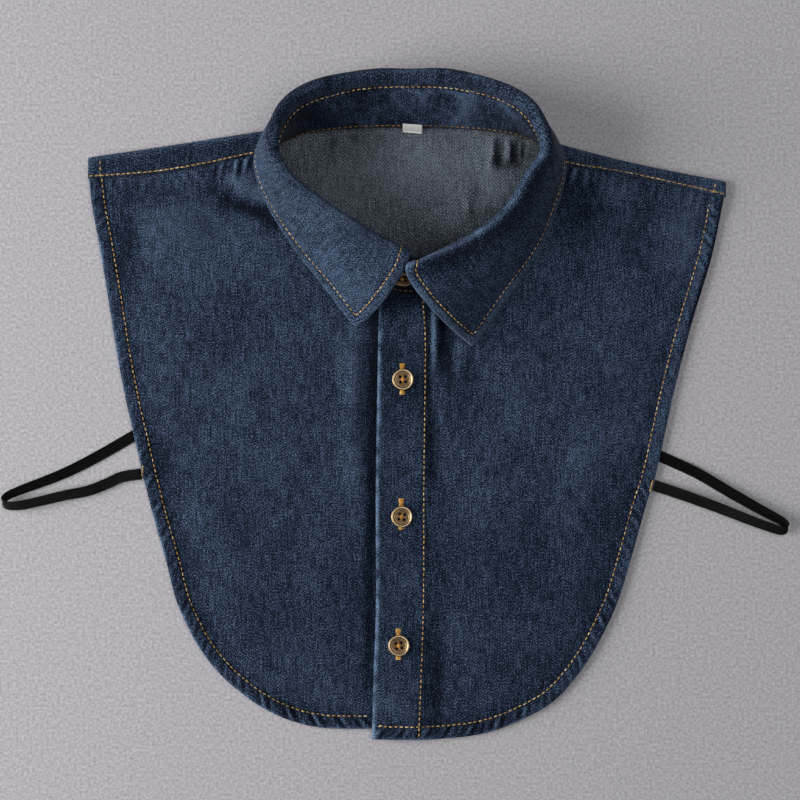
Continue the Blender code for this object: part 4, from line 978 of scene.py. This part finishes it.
def leaf_section(section):
    """Middle of the leaf's wall: up from the stand, round the fold and down to its free edge. Also how far each
    point rises where the leaf passes over a button, and its share of the way down."""
    lean = radians(section.lean)
    facing = compass(section.stand_turn)
    falling = compass(section.leaf_turn)
    up = facing * sin(lean) + UPWARD * cos(lean)
    start = np.array(section[:3]) + up * (section.height + SEAM_GAP)
    arc_start = start + up * section.rise
    top = arc_start - facing * ROLL_RADIUS * (1.0 - cos(lean)) - UPWARD * ROLL_RADIUS * sin(lean)
    edge_out = section.out - ROLL_RADIUS
    edge_up = section.edge_z - top[2]
    reach = hypot(edge_out, edge_up)
    fall = pi - (atan2(edge_up, edge_out) + acos(ROLL_RADIUS / reach))
    points = [start, (start + arc_start) / 2]
    shares = [0.0, 0.0]
    for turned, angle in zip(np.linspace(0.0, 1.0, ROLL_POINTS), np.linspace(lean, fall, ROLL_POINTS)):
        level = facing if angle < 0.0 else falling
        points.append(top + level * ROLL_RADIUS * (1.0 - cos(angle)) + UPWARD * ROLL_RADIUS * sin(angle))
        shares.append(FOLD_SHARE * ((1.0 + 6.0 * turned) / 7.0) ** 2)
    lifts = [np.zeros(3)] * len(points)
    arc_end = points[-1]
    length = sqrt(reach**2 - ROLL_RADIUS**2)
    down = falling * sin(fall) + UPWARD * cos(fall)
    outward = -falling * cos(fall) + UPWARD * sin(fall)
    steps = [length - (length - LEAF_EDGE_STEPS[0]) * share for share in np.linspace(0.0, 1.0, 15)[1:]]
    # 16 and 29 bring the highest point of each curve to 1
    for left in (*steps, *LEAF_EDGE_STEPS[1:]):
        share = 1.0 - left / length
        belly = LEAF_BELLY * 16.0 * share**2 * (1.0 - share) ** 2
        points.append(arc_end + down * length * share + outward * belly)
        lifts.append(outward * 29.0 * share**2 * (1.0 - share) ** 3)
        shares.append(FOLD_SHARE + (1.0 - FOLD_SHARE) * share)
    return points, lifts, shares


def leaf_grid(places):
    """Middle of the leaf's wall at places along the collar, with its front edges bowed out and lifted."""
    sections = [leaf_section(Section(*row)) for row in SECTION_CURVE]
    points, lifts, shares = [np.array(part) for part in zip(*sections)]
    rows = np.arange(len(SECTION_CURVE)) / CURVE_STEPS
    near_right = 1.0 - ease((places - 1.0) / BOW_ROWS)
    near_left = 1.0 - ease((LAST_SECTION - 1.0 - places) / BOW_ROWS)
    rise = FRONT_LIFT * np.maximum(near_right, near_left)[:, None]
    columns = []
    for column in range(points.shape[1]):
        share = np.interp(places, rows, shares[:, column])
        bowed = places - near_right * RIGHT_EDGE_BOW * np.sin(pi * share**RIGHT_BOW_SKEW)
        bowed = bowed + near_left * LEFT_EDGE_BOW * np.sin(pi * share**LEFT_BOW_SKEW)
        columns.append(between(bowed, rows, points[:, column]) + rise * between(bowed, rows, lifts[:, column]))
    return np.stack(columns, axis=1)


def sheet_normals(grid):
    """Unit normals of a grid of points."""
    return unit(np.cross(np.gradient(grid, axis=0), np.gradient(grid, axis=1)))


def closed_grid(node, outer, inner, flat, wear_and_painted_light, finish, slot):
    """Closed sheet from two grids of points, with a narrow rim between them."""
    rows, columns, _ = outer.shape
    below = rows * columns
    numbers = np.arange(below).reshape(rows, columns)
    quads = np.stack((numbers[:-1, :-1], numbers[:-1, 1:], numbers[1:, 1:], numbers[1:, :-1]), axis=2)
    faces = []
    for quad in quads.reshape(-1, 4).tolist():
        faces += [quad, [below + corner for corner in reversed(quad)]]
    rim = np.concatenate((numbers[0], numbers[1:, -1], numbers[-1, -2::-1], numbers[-2:0:-1, 0])).tolist()
    for first, second in zip(rim, rim[1:] + rim[:1]):
        faces.append([first, first + below, second + below, second])
    corners = outer.reshape(-1, 3)[faces[0]]
    facing = np.cross(corners[1] - corners[0], corners[2] - corners[0])
    if facing @ (corners.mean(axis=0) - inner[0, 0]) < 0.0:
        faces = [face[::-1] for face in faces]
    return finish_piece(node, (outer, inner), faces, [0] * len(faces), (finish,), flat, wear_and_painted_light, slot)


def crushed(points, seed, longest, shortest, sharpness):
    """Sharp creases in all directions: 1 on each crease and 0 between them."""
    return np.clip(1.0 - np.abs(ripple(points, seed, longest, shortest)) * sharpness, 0.0, 1.0) ** 2


def make_stand():
    """Stand: the inside shows behind the neck opening, and its front end shows between the leaf's points."""
    places = np.linspace(0.0, LAST_SECTION, LAST_SECTION * COLLAR_STEPS + 1)
    grid = np.array([stand_section(section_at(place), STAND_POINTS) for place in places])
    normals = sheet_normals(grid)
    up = lengths_along(grid, 1)
    along = lengths_along(grid)[:, STAND_POINTS // 2, None] * np.ones(up.shape)
    flat = np.stack((along, up), axis=2)
    places = places[:, None]
    at_back = bell((places - 11.0) / 2.6)
    crinkle = crushed(flat, 41, 34.0, 13.0, 2.2) + 0.5 * crushed(flat * (0.6, 1.0), 45, 15.0, 6.0, 2.0)
    waves = ripple(flat, 43, 40.0, 18.0)
    height = up[:, -1:]
    stitch_up = height - 2.4 + 1.2 * bell((places - 11.0) / 2.4)
    groove = GROOVE * (bell((up - stitch_up) / 0.8) + bell((up - NECK_STITCH_UP) / 0.8))
    swell = 0.8 * crinkle * at_back * ease(up / 5.0) * ease((height - up) / 6.0) + 0.35 * waves * ease(up / 6.0)
    rim = ease(np.minimum(up, height - up) / 0.9) * 0.5 + 0.5
    ends = ease(np.minimum(places, LAST_SECTION - places) / 0.06) * 0.5 + 0.5
    half = STAND_WALL / 2 * rim * ends
    inner = grid + normals * (half + swell - groove)[..., None]
    outer = grid - normals * (half - groove)[..., None]
    # Painted light and shade on the stand: painted highlights on the crinkles at the back and over a stretch
    # just past the middle of the back; painted shade all over, further towards the wearer's left, round the
    # wearer's right side and along the top stitching
    bright = ease((places - 10.8) / 1.4) - 1.9 * ease((places - 12.6) / 0.9)
    wear_and_painted_light = 0.5 * crinkle * at_back - 0.42 + 0.25 * waves + 0.36 * bright
    wear_and_painted_light -= 0.4 * bell((up - stitch_up) / 1.2) + 0.5 * bell((places - 6.5) / 2.2)
    made = closed_grid("collar_stand", outer, inner, flat, wear_and_painted_light, DENIM_FACE, "denim")
    return {"normals": normals, "inner": inner, "outer": outer, "up": up, "stitch_up": stitch_up}


def make_leaf():
    """Leaf: one face from the stand up over the roll and down to its turned and topstitched edge."""
    steps = np.array(LEAF_EDGE_STEPS[::-1]) * 1.25
    right_end = 1.0 + steps / RIGHT_END_RUN
    left_end = LAST_SECTION - 1.0 - steps[::-1] / LEFT_END_RUN
    even = np.linspace(right_end[-1], left_end[0], (LAST_SECTION - 2) * COLLAR_STEPS)
    places = np.concatenate((right_end, even[1:-1], left_end))
    grid = leaf_grid(places)
    normals = sheet_normals(grid)
    along = lengths_along(grid)
    down = lengths_along(grid, 1)
    from_edge, from_right, from_left = [
        beside_line(grid.reshape(-1, 3), line)[0].reshape(down.shape)
        for line in (grid[:, -1], grid[0, 5:], grid[-1, 5:])
    ]
    from_front = np.minimum(from_right, from_left)
    border = np.minimum(from_edge, from_front)
    flat = np.stack((along[:, grid.shape[1] // 2, None] * np.ones(down.shape), down), axis=2)
    ropes = puckers(np.where(from_edge < from_front, along, down), border, 5.6, 0.5, 1.3, 19.0)
    ridge = ease(border / 1.0) * (1.0 - ease((border - 4.0) / 1.4))
    relief = 0.32 * ridge - GROOVE * bell((border - LEAF_STITCH_IN) / 0.7)
    relief += 0.08 * ropes * bell((border - 3.0) / 2.2)
    soft = 0.3 * ripple(flat, 51, 60.0, 22.0) + 0.06 * ripple(flat, 53, 12.0, 6.0)
    relief += soft * ease((border - 5.0) / 8.0)
    half = LEAF_WALL / 2 * (0.45 + 0.55 * ease(border / 0.9))
    outer = grid + normals * (half + relief)[..., None]
    inner = grid - normals * half[..., None]

    places = places[:, None]
    patch = 0.5 + 0.5 * ripple(flat, 57, 30.0, 9.0)
    left_side = ease((places - 12.0) / 4.0)
    # Pale lines along the free edge and along the crest of the fold, from abrasion and as painted highlights;
    # painted shade below the fold on the wearer's left, round the back and along the stitching, with a painted
    # light patch behind the neck and a lighter border on the wearer's left so that its edge stands out from the
    # shade
    wear_and_painted_light = 0.85 * np.clip(patch, 0.2, 1.0) * bell(border / 0.8)
    wear_and_painted_light += 0.7 * bell((down - 8.0) / 1.2) * np.clip(patch, 0.0, 1.0)
    wear_and_painted_light += 0.04 * (1.0 - left_side)
    wear_and_painted_light -= left_side * (0.08 + 0.5 * bell((down - 14.0) / 7.0)) * ease((down - 8.5) / 3.0)
    wear_and_painted_light -= 0.5 * bell((places - 12.3) / 4.2) * bell((down - 9.0) / 8.0)
    wear_and_painted_light -= 0.4 * bell((places - 8.0) / 1.5) * bell((down - 11.0) / 7.0)
    wear_and_painted_light += 0.35 * bell((places - 12.8) / 1.6) * bell((down - 10.0) / 6.0)
    wear_and_painted_light += 0.3 * left_side * (1.0 - ease((border - 4.0) / 2.0))
    wear_and_painted_light -= 0.3 * bell((border - LEAF_STITCH_IN) / 1.1)
    made = closed_grid("collar_leaf", outer, inner, flat, wear_and_painted_light, DENIM_FACE, "denim")
    return {"outer": outer, "normals": normals, "from_edge": from_edge, "from_front": from_front}


# Stitching


STITCH_FACES = [
    (ring * 6 + corner, ring * 6 + (corner + 1) % 6, ring * 6 + 6 + (corner + 1) % 6, ring * 6 + 6 + corner)
    for ring in range(3)
    for corner in range(6)
] + [(5, 4, 3, 2, 1, 0), (18, 19, 20, 21, 22, 23)]


def stitch_shape(centre, run, up, length, thickness):
    """Points of one stitch: a short plump thread whose ends dive into the cloth."""
    side = np.cross(run, up)
    points = []
    for share, size, rise in STITCH_RINGS:
        for angle in np.arange(6) * pi / 3:
            across = cos(angle) * size * thickness / 2
            above = sin(angle) * size * thickness * 0.38 + rise * thickness
            points.append(centre + run * share * length + side * across + up * above)
    return points


def thread_piece(name, stitches, finish):
    """All stitches of one seam as a piece."""
    points = []
    faces = []
    for stitch in stitches:
        first = len(points)
        points += stitch_shape(*stitch)
        faces += [tuple(first + corner for corner in face) for face in STITCH_FACES]
    mesh = bpy.data.meshes.new(name)
    mesh.from_pydata((np.array(points) * MM).tolist(), [], faces)
    mesh.materials.append(finish)
    mesh.shade_smooth()
    mesh.update()
    shape = bmesh.new()
    shape.from_mesh(mesh)
    bmesh.ops.recalc_face_normals(shape, faces=shape.faces)
    shape.to_mesh(mesh)
    shape.free()
    place_piece(name, mesh)


def run_of_stitches(line, normals, seed, pitch=STITCH_PITCH, length=STITCH_LENGTH, thickness=THREAD):
    """Evenly spaced stitches along a line in space, each a little different."""
    random = np.random.RandomState(seed)
    lengths = lengths_along(line)
    count = max(1, int(lengths[-1] // pitch))
    stitches = []
    for number in range(count):
        middle = (number + 0.5) * lengths[-1] / count
        before, centre, after = between([middle - length / 2, middle, middle + length / 2], lengths, line)
        up = between(middle, lengths, normals)
        run = unit(after - before)
        up = unit(up - run * (up @ run))
        side = np.cross(run, up)
        run = unit(run + side * random.normal(0.0, 0.04))
        centre = centre + side * random.normal(0.0, 0.06)
        long, thick = length * random.uniform(0.92, 1.06), thickness * random.uniform(0.9, 1.1)
        stitches.append((centre, run, up, long, thick))
    return stitches


def on_panel(front, line, above=0.12):
    """A flat line laid on a front's upper surface, with the surface's normals."""
    shift = 0.6
    moves = ((0.0, 0.0), (shift, 0.0), (0.0, shift))
    high, beside_x, beside_y = [front.surfaces(line + move)[1] for move in moves]
    normals = np.column_stack(((high - beside_x) / shift, (high - beside_y) / shift, np.ones(len(line))))
    return np.column_stack((line, high + above)), unit(normals)


def stitch_fronts(right, left):
    """Topstitching of the hems, the placket and the shoulder seams."""
    hem = offset_line(even_line(RIGHT_HEM, 1.5), HEM_STITCH_IN)
    hem = hem[(hem[:, 0] < -15.5) & (hem[:, 1] < 131.0)]
    thread_piece("right_hem_stitches", run_of_stitches(*on_panel(right, hem), 61), THREAD_GOLD)

    hem = offset_line(even_line(LEFT_HEM, 1.5), -HEM_STITCH_IN)
    hem = hem[(hem[:, 0] > -12.0) & (hem[:, 1] < 121.0)]
    stitches = run_of_stitches(*on_panel(left, hem), 62)
    stitches += run_of_stitches(*on_panel(left, hem[-4:] + (0.0, 0.65)), 66)
    thread_piece("left_hem_stitches", stitches, THREAD_GOLD)

    placket = even_line((*PLACKET_STITCH[:-1], (12.7, -192.8)), 1.5) + (PLACKET_STITCH_SHIFT, 0.0)
    thread_piece("placket_stitches", run_of_stitches(*on_panel(left, placket), 63), THREAD_GOLD)

    top = 2 * FOLD_RADIUS + CLOTH + 0.1
    upward = np.tile(UPWARD, (90, 1))
    for name, fold, seam, ends, hem, lean in SHOULDER_STITCHES:
        places = np.linspace(*ends, 90)
        line = np.column_stack((places, y_at(seam, places) + 1.5, np.full(90, top)))
        stitches = run_of_stitches(line, upward, 64, length=2.7)
        low, high = y_at(seam, hem), y_at(fold, hem)
        steps = np.linspace(0.0, 1.0, 12)
        short = np.column_stack((hem + lean * steps, low + (high - low - 0.6) * steps, np.full(12, top)))
        thread_piece(name, stitches + run_of_stitches(short, upward[:12], 65), THREAD_GOLD)


def level_line(surface, normals, distance, level):
    """Line over a grid where a distance has a given level, found once in each row, with the normals there."""
    found = []
    for points, facing, reach in zip(surface, normals, distance):
        order = np.argsort(reach)
        found.append(between(level, reach[order], np.hstack((points, facing))[order]))
    return np.hsplit(np.array(found), 2)


def stitch_collar(leaf, stand):
    """Topstitching round the leaf, and the seams at the top and the foot of the stand."""
    clear = LEAF_STITCH_IN * 0.98
    line, facing = level_line(leaf["outer"], leaf["normals"], leaf["from_edge"], LEAF_STITCH_IN)
    kept = leaf["from_front"][:, -5] > clear
    stitches = run_of_stitches(line[kept], facing[kept], 71)
    half = len(leaf["outer"]) // 2
    for part, end, seed in ((slice(0, half), 0, 72), (slice(half, None), -1, 73)):
        kept = leaf["from_edge"][end] > clear
        kept[:5] = False
        turned = [leaf[grid][part].swapaxes(0, 1) for grid in ("outer", "normals", "from_front")]
        line, facing = level_line(*turned, LEAF_STITCH_IN)
        stitches += run_of_stitches(line[kept], facing[kept], seed, length=2.6)
    thread_piece("leaf_stitches", stitches, THREAD_GOLD)

    inner, outer, normals, up = [stand[grid] for grid in ("inner", "outer", "normals", "up")]
    line, facing = level_line(inner, normals, up - stand["stitch_up"], 0.0)
    thread_piece("stand_top_stitches", run_of_stitches(line[8:-8], facing[8:-8], 74), THREAD_GOLD)
    line, facing = level_line(inner, normals, up, NECK_STITCH_UP)
    thread_piece("neck_seam_stitches", run_of_stitches(line[8:-8], facing[8:-8], 75), THREAD_BROWN)
    line, facing = level_line(outer, -normals, up, NECK_STITCH_UP)
    ends = run_of_stitches(line[:30], facing[:30], 76) + run_of_stitches(line[-36:], facing[-36:], 77)
    thread_piece("stand_foot_stitches", ends, THREAD_BROWN)


# Buttons


def select_faces(made, test):
    """In edit mode, selects only the faces that pass a test."""
    shape = bmesh.from_edit_mesh(made.data)
    for face in shape.faces:
        face.select_set(False)
    for face in filter(test, shape.faces):
        face.select_set(True)
    bmesh.update_edit_mesh(made.data)


def model_button():
    """Four-hole button: a rounded rim, a step inside it and a sunk middle."""
    bpy.ops.object.select_all(action="DESELECT")
    bpy.ops.mesh.primitive_cylinder_add(
        vertices=56, radius=5.0 * MM, depth=0.7 * MM, location=(0, 0, 0.35 * MM)
    )
    made = bpy.context.object
    made.name = "button_pattern"
    bpy.ops.object.mode_set(mode="EDIT")
    bpy.ops.mesh.select_mode(type="FACE")
    for wider, rise in BUTTON_WALL:
        select_faces(made, lambda face: face.normal.z > 0.9)
        bpy.ops.mesh.extrude_region_move(TRANSFORM_OT_translate={"value": (0, 0, rise * MM)})
        shape = bmesh.from_edit_mesh(made.data)
        for vertex in {vertex for face in shape.faces if face.select for vertex in face.verts}:
            spread = vertex.co.to_2d()
            vertex.co.x, vertex.co.y = spread * (spread.length + wider * MM) / spread.length
        bmesh.update_edit_mesh(made.data)
    for width, rise in BUTTON_DISH:
        select_faces(made, lambda face: face.normal.z > 0.9 and len(face.verts) > 8)
        bpy.ops.mesh.inset(thickness=width * MM, depth=rise * MM)
    bpy.ops.object.mode_set(mode="OBJECT")
    soften = made.modifiers.new("soften", "BEVEL")
    soften.width = 0.14 * MM
    soften.segments = 2
    soften.limit_method = "ANGLE"
    soften.angle_limit = radians(25)
    bpy.ops.object.modifier_apply(modifier="soften")
    for x, y in HOLES:
        bpy.ops.object.select_all(action="DESELECT")
        bpy.ops.mesh.primitive_cylinder_add(
            vertices=20, radius=0.92 * MM, depth=9 * MM, location=(x * MM, y * MM, 0)
        )
        drill = bpy.context.object
        bpy.context.view_layer.objects.active = made
        hole = made.modifiers.new("hole", "BOOLEAN")
        hole.object = drill
        hole.solver = "EXACT"
        bpy.ops.object.modifier_apply(modifier="hole")
        bpy.data.objects.remove(drill)
    mesh = made.data
    places = np.array([vertex.co for vertex in mesh.vertices]) / MM
    heights = places[:, 2]
    spread = np.hypot(*places[:, :2].T)
    proud_and_hole_shade = 0.8 * bell((spread - 5.3) / 0.75) * ease((heights - 1.6) / 0.5) + 0.3 * bell((spread - 4.1) / 0.25)
    from_hole = np.min([np.hypot(*(places[:, :2] - hole).T) for hole in HOLES], axis=0)
    # Painted shade, near black, down inside the holes
    proud_and_hole_shade -= (from_hole < 1.05) & (heights < 0.5)
    mesh.attributes.new("proud_and_hole_shade", "FLOAT", "POINT").data.foreach_set("value", proud_and_hole_shade)
    mesh.materials.append(BRASS)
    mesh.shade_smooth()
    mesh.set_sharp_from_angle(angle=radians(50))
    return made


def collar_button_place():
    """Where the button on the stand sits, and which way it faces."""
    rows = SECTION_CURVE[-CURVE_STEPS - 1:]
    middle = np.argmin(abs(rows[:, 0] - COLLAR_BUTTON_X))
    beside = []
    for row in rows[[middle - 7, middle, middle + 7]]:
        foot, top = stand_section(Section(*row), 2)
        beside.append(foot + unit(top - foot) * COLLAR_BUTTON_UP)
    before, here, after = beside
    outward = np.cross(here - rows[middle][:3], after - before)
    outward *= -np.sign(outward[1]) / np.linalg.norm(outward)
    return (before + 2 * here + after) / 4 + outward * (STAND_WALL / 2 + COLLAR_BUTTON_GAP), outward


def make_buttons():
    """The buttons, with the thread in their holes."""
    pattern = model_button()
    base = 2 * (CLOTH + SEAM_GAP) + CLOTH + PLACKET_EXTRA + SEAM_GAP
    places = [(np.array((x, y, base)), UPWARD) for x, y in PLACKET_BUTTONS]
    threads = []
    for (node, degrees), (centre, facing) in zip(BUTTON_TURNS, [*places, collar_button_place()]):
        turn = Vector((0, 0, 1)).rotation_difference(Vector(facing)).to_matrix().to_4x4()
        turn = turn @ Matrix.Rotation(radians(degrees), 4, "Z")
        mesh = pattern.data.copy()
        mesh.transform(Matrix.Translation(Vector(centre * MM)) @ turn)
        place_piece(node + "_brass", mesh, node)
        run = np.array(turn.to_3x3()) @ (0.0, 1.0, 0.0)
        side = np.cross(run, facing)
        for shift, length, rise in BUTTON_THREADS:
            threads.append((centre + facing * rise + side * shift, run, facing, length, 0.58))
    bpy.data.objects.remove(pattern)
    thread_piece("button_threads", threads, THREAD_BUTTONHOLE)


def make_buttonholes(left):
    """Buttonholes worked along the placket in close stitches, with a bar tack at each end."""
    marks = []
    for (x, y), up in zip(PLACKET_BUTTONS, BUTTONHOLE_SHIFTS):
        along = [(step, 2.7) for step in np.arange(-8.4, 8.5, 0.42) if abs(step + up) > 3.6]
        tacks = [(end * (7.2 + step), 3.4) for end in (-1.0, 1.0) for step in np.arange(0.0, 1.7, 0.4)]
        marks += [(x - 0.3, y + up + step, length) for step, length in along + tacks]
    marks = np.array(marks)
    random = np.random.RandomState(81)
    worked = []
    for centre, up, length in zip(*on_panel(left, marks[:, :2], 0.1), marks[:, 2]):
        run = np.array((1.0, random.normal(0.0, 0.08), 0.0))
        run = unit(run - up * (run @ up))
        worked.append((centre, run, up, length * random.uniform(0.9, 1.1), 0.5))
    thread_piece("buttonhole_stitches", worked, THREAD_BUTTONHOLE)


# Elastic and label


def make_elastic(node, table, seed):
    """Elastic tape along a loop, ribbed lengthwise."""
    rows = smooth_rows(table, 7)
    middle = rows[:, :3]
    tilt = np.radians(rows[:, 3])
    across = np.column_stack((np.zeros(len(rows)), np.sin(tilt), np.cos(tilt)))
    run = unit(np.gradient(middle, axis=0))
    across = unit(across - (across * run).sum(axis=1)[:, None] * run * ELASTIC_UPRIGHT)
    shares = np.linspace(-0.5, 0.5, 29)
    grid = np.stack([middle + across * ELASTIC_WIDTH * share for share in shares], axis=1)
    normals = sheet_normals(grid)
    ribs = 0.2 * np.cos(shares * 2 * pi * ELASTIC_RIBS)
    flat = np.stack((lengths_along(grid, 0), lengths_along(grid, 1)), axis=2)
    half = ELASTIC_WALL / 2 * (0.35 + 0.65 * ease((0.5 - abs(shares)) / 0.08))
    thick = normals * (half * 0.85 + ribs + 0.05 * ripple(flat, seed, 16.0, 5.0))[..., None]
    # Painted light and shade of the ribs: tops lighter, grooves darker, fainter on the run out than on the run
    # back
    lower_run = 0.35 + 0.65 * ease((np.arange(len(rows)) / len(rows) - 0.5) / 0.08)[:, None]
    closed_grid(node, grid + thick, grid - thick, flat, (0.5 + 2.7 * ribs) * lower_run, ELASTIC, "elastic")


def stitch_elastic():
    """Short rows of thread where the elastic is caught to the hems."""
    stitches = []
    for x, y, lean in ELASTIC_TACKS:
        line = np.array([(x + lean * step, y + step, 3.5) for step in np.linspace(-3.2, 3.2, 9)])
        stitches += run_of_stitches(line, np.tile(UPWARD, (9, 1)), 95, pitch=1.3, length=1.4, thickness=0.8)
    thread_piece("elastic_stitches", stitches, THREAD_GOLD)


def make_label():
    """Blank tape folded double, with both its ends caught in the neck seam."""
    line = smooth_rows(LABEL_SECTION, 5)
    run = unit(np.gradient(line, axis=0))
    ply = LABEL_WALL / 4
    side = np.column_stack((-run[:, 1], run[:, 0])) * ply
    turns = np.linspace(0.0, pi, 7)[1:-1]
    fold = [line[-1] + side[-1] * cos(turn) + run[-1] * ply * sin(turn) for turn in turns]
    line = np.concatenate((line + side, fold, (line - side)[::-1]))
    columns = np.linspace(*LABEL_ENDS, 15)
    grid = np.array([[(x, y - LABEL_SKEW * (x - LABEL_ENDS[0]), z) for x in columns] for y, z in line])
    thick = sheet_normals(grid) * ply * 0.85
    flat = np.stack((lengths_along(grid, 1), lengths_along(grid, 0)), axis=2)
    centre = grid + 0.2 * ripple(grid, 91, 14.0, 6.0)[..., None] * (0.0, 0.5, 0.8)
    unworn = np.zeros(grid.shape[:2])
    made = closed_grid("neck_label", centre + thick, centre - thick, flat, unworn, TAPE, "label_tape")


# Stage


def make_stage():
    """Surface, lights and camera."""
    bpy.ops.object.select_all(action="DESELECT")
    bpy.ops.mesh.primitive_plane_add(size=6.0, location=(0.0, 0.0, FLOOR_HEIGHT))
    floor = bpy.context.object
    floor.name = "surface"
    floor.data.materials.append(backdrop_paper())

    world = bpy.data.worlds.new("studio")
    world.use_nodes = True
    wire(world.node_tree.nodes["Background"], {"Color": linear("e2e4ea"), "Strength": WORLD_STRENGTH})
    bpy.context.scene.world = world

    for name, place, size, power in LIGHTS:
        lamp = bpy.data.lights.new(name, "AREA")
        lamp.size = size
        lamp.energy = power
        light = bpy.data.objects.new(name, lamp)
        light.location = place
        light.rotation_euler = (-Vector(place)).to_track_quat("-Z", "Y").to_euler()
        light.visible_camera = False
        bpy.context.scene.collection.objects.link(light)

    lens = bpy.data.cameras.new("camera")
    lens.sensor_width = 36.0
    lens.lens = CAMERA_LENS
    lens.clip_start = 0.05
    camera = bpy.data.objects.new("camera", lens)
    camera.location = CAMERA_PLACE
    bpy.context.scene.collection.objects.link(camera)
    bpy.context.scene.camera = camera
    bpy.context.scene.view_settings.view_transform = "Standard"


make_stage()
right_front, left_front = make_fronts()
make_back_panel()
stand = make_stand()
leaf = make_leaf()
stitch_fronts(right_front, left_front)
stitch_collar(leaf, stand)
make_buttons()
make_buttonholes(left_front)
make_elastic("elastic_right", ELASTIC_RIGHT, 92)
make_elastic("elastic_left", ELASTIC_LEFT, 93)
stitch_elastic()
make_label()
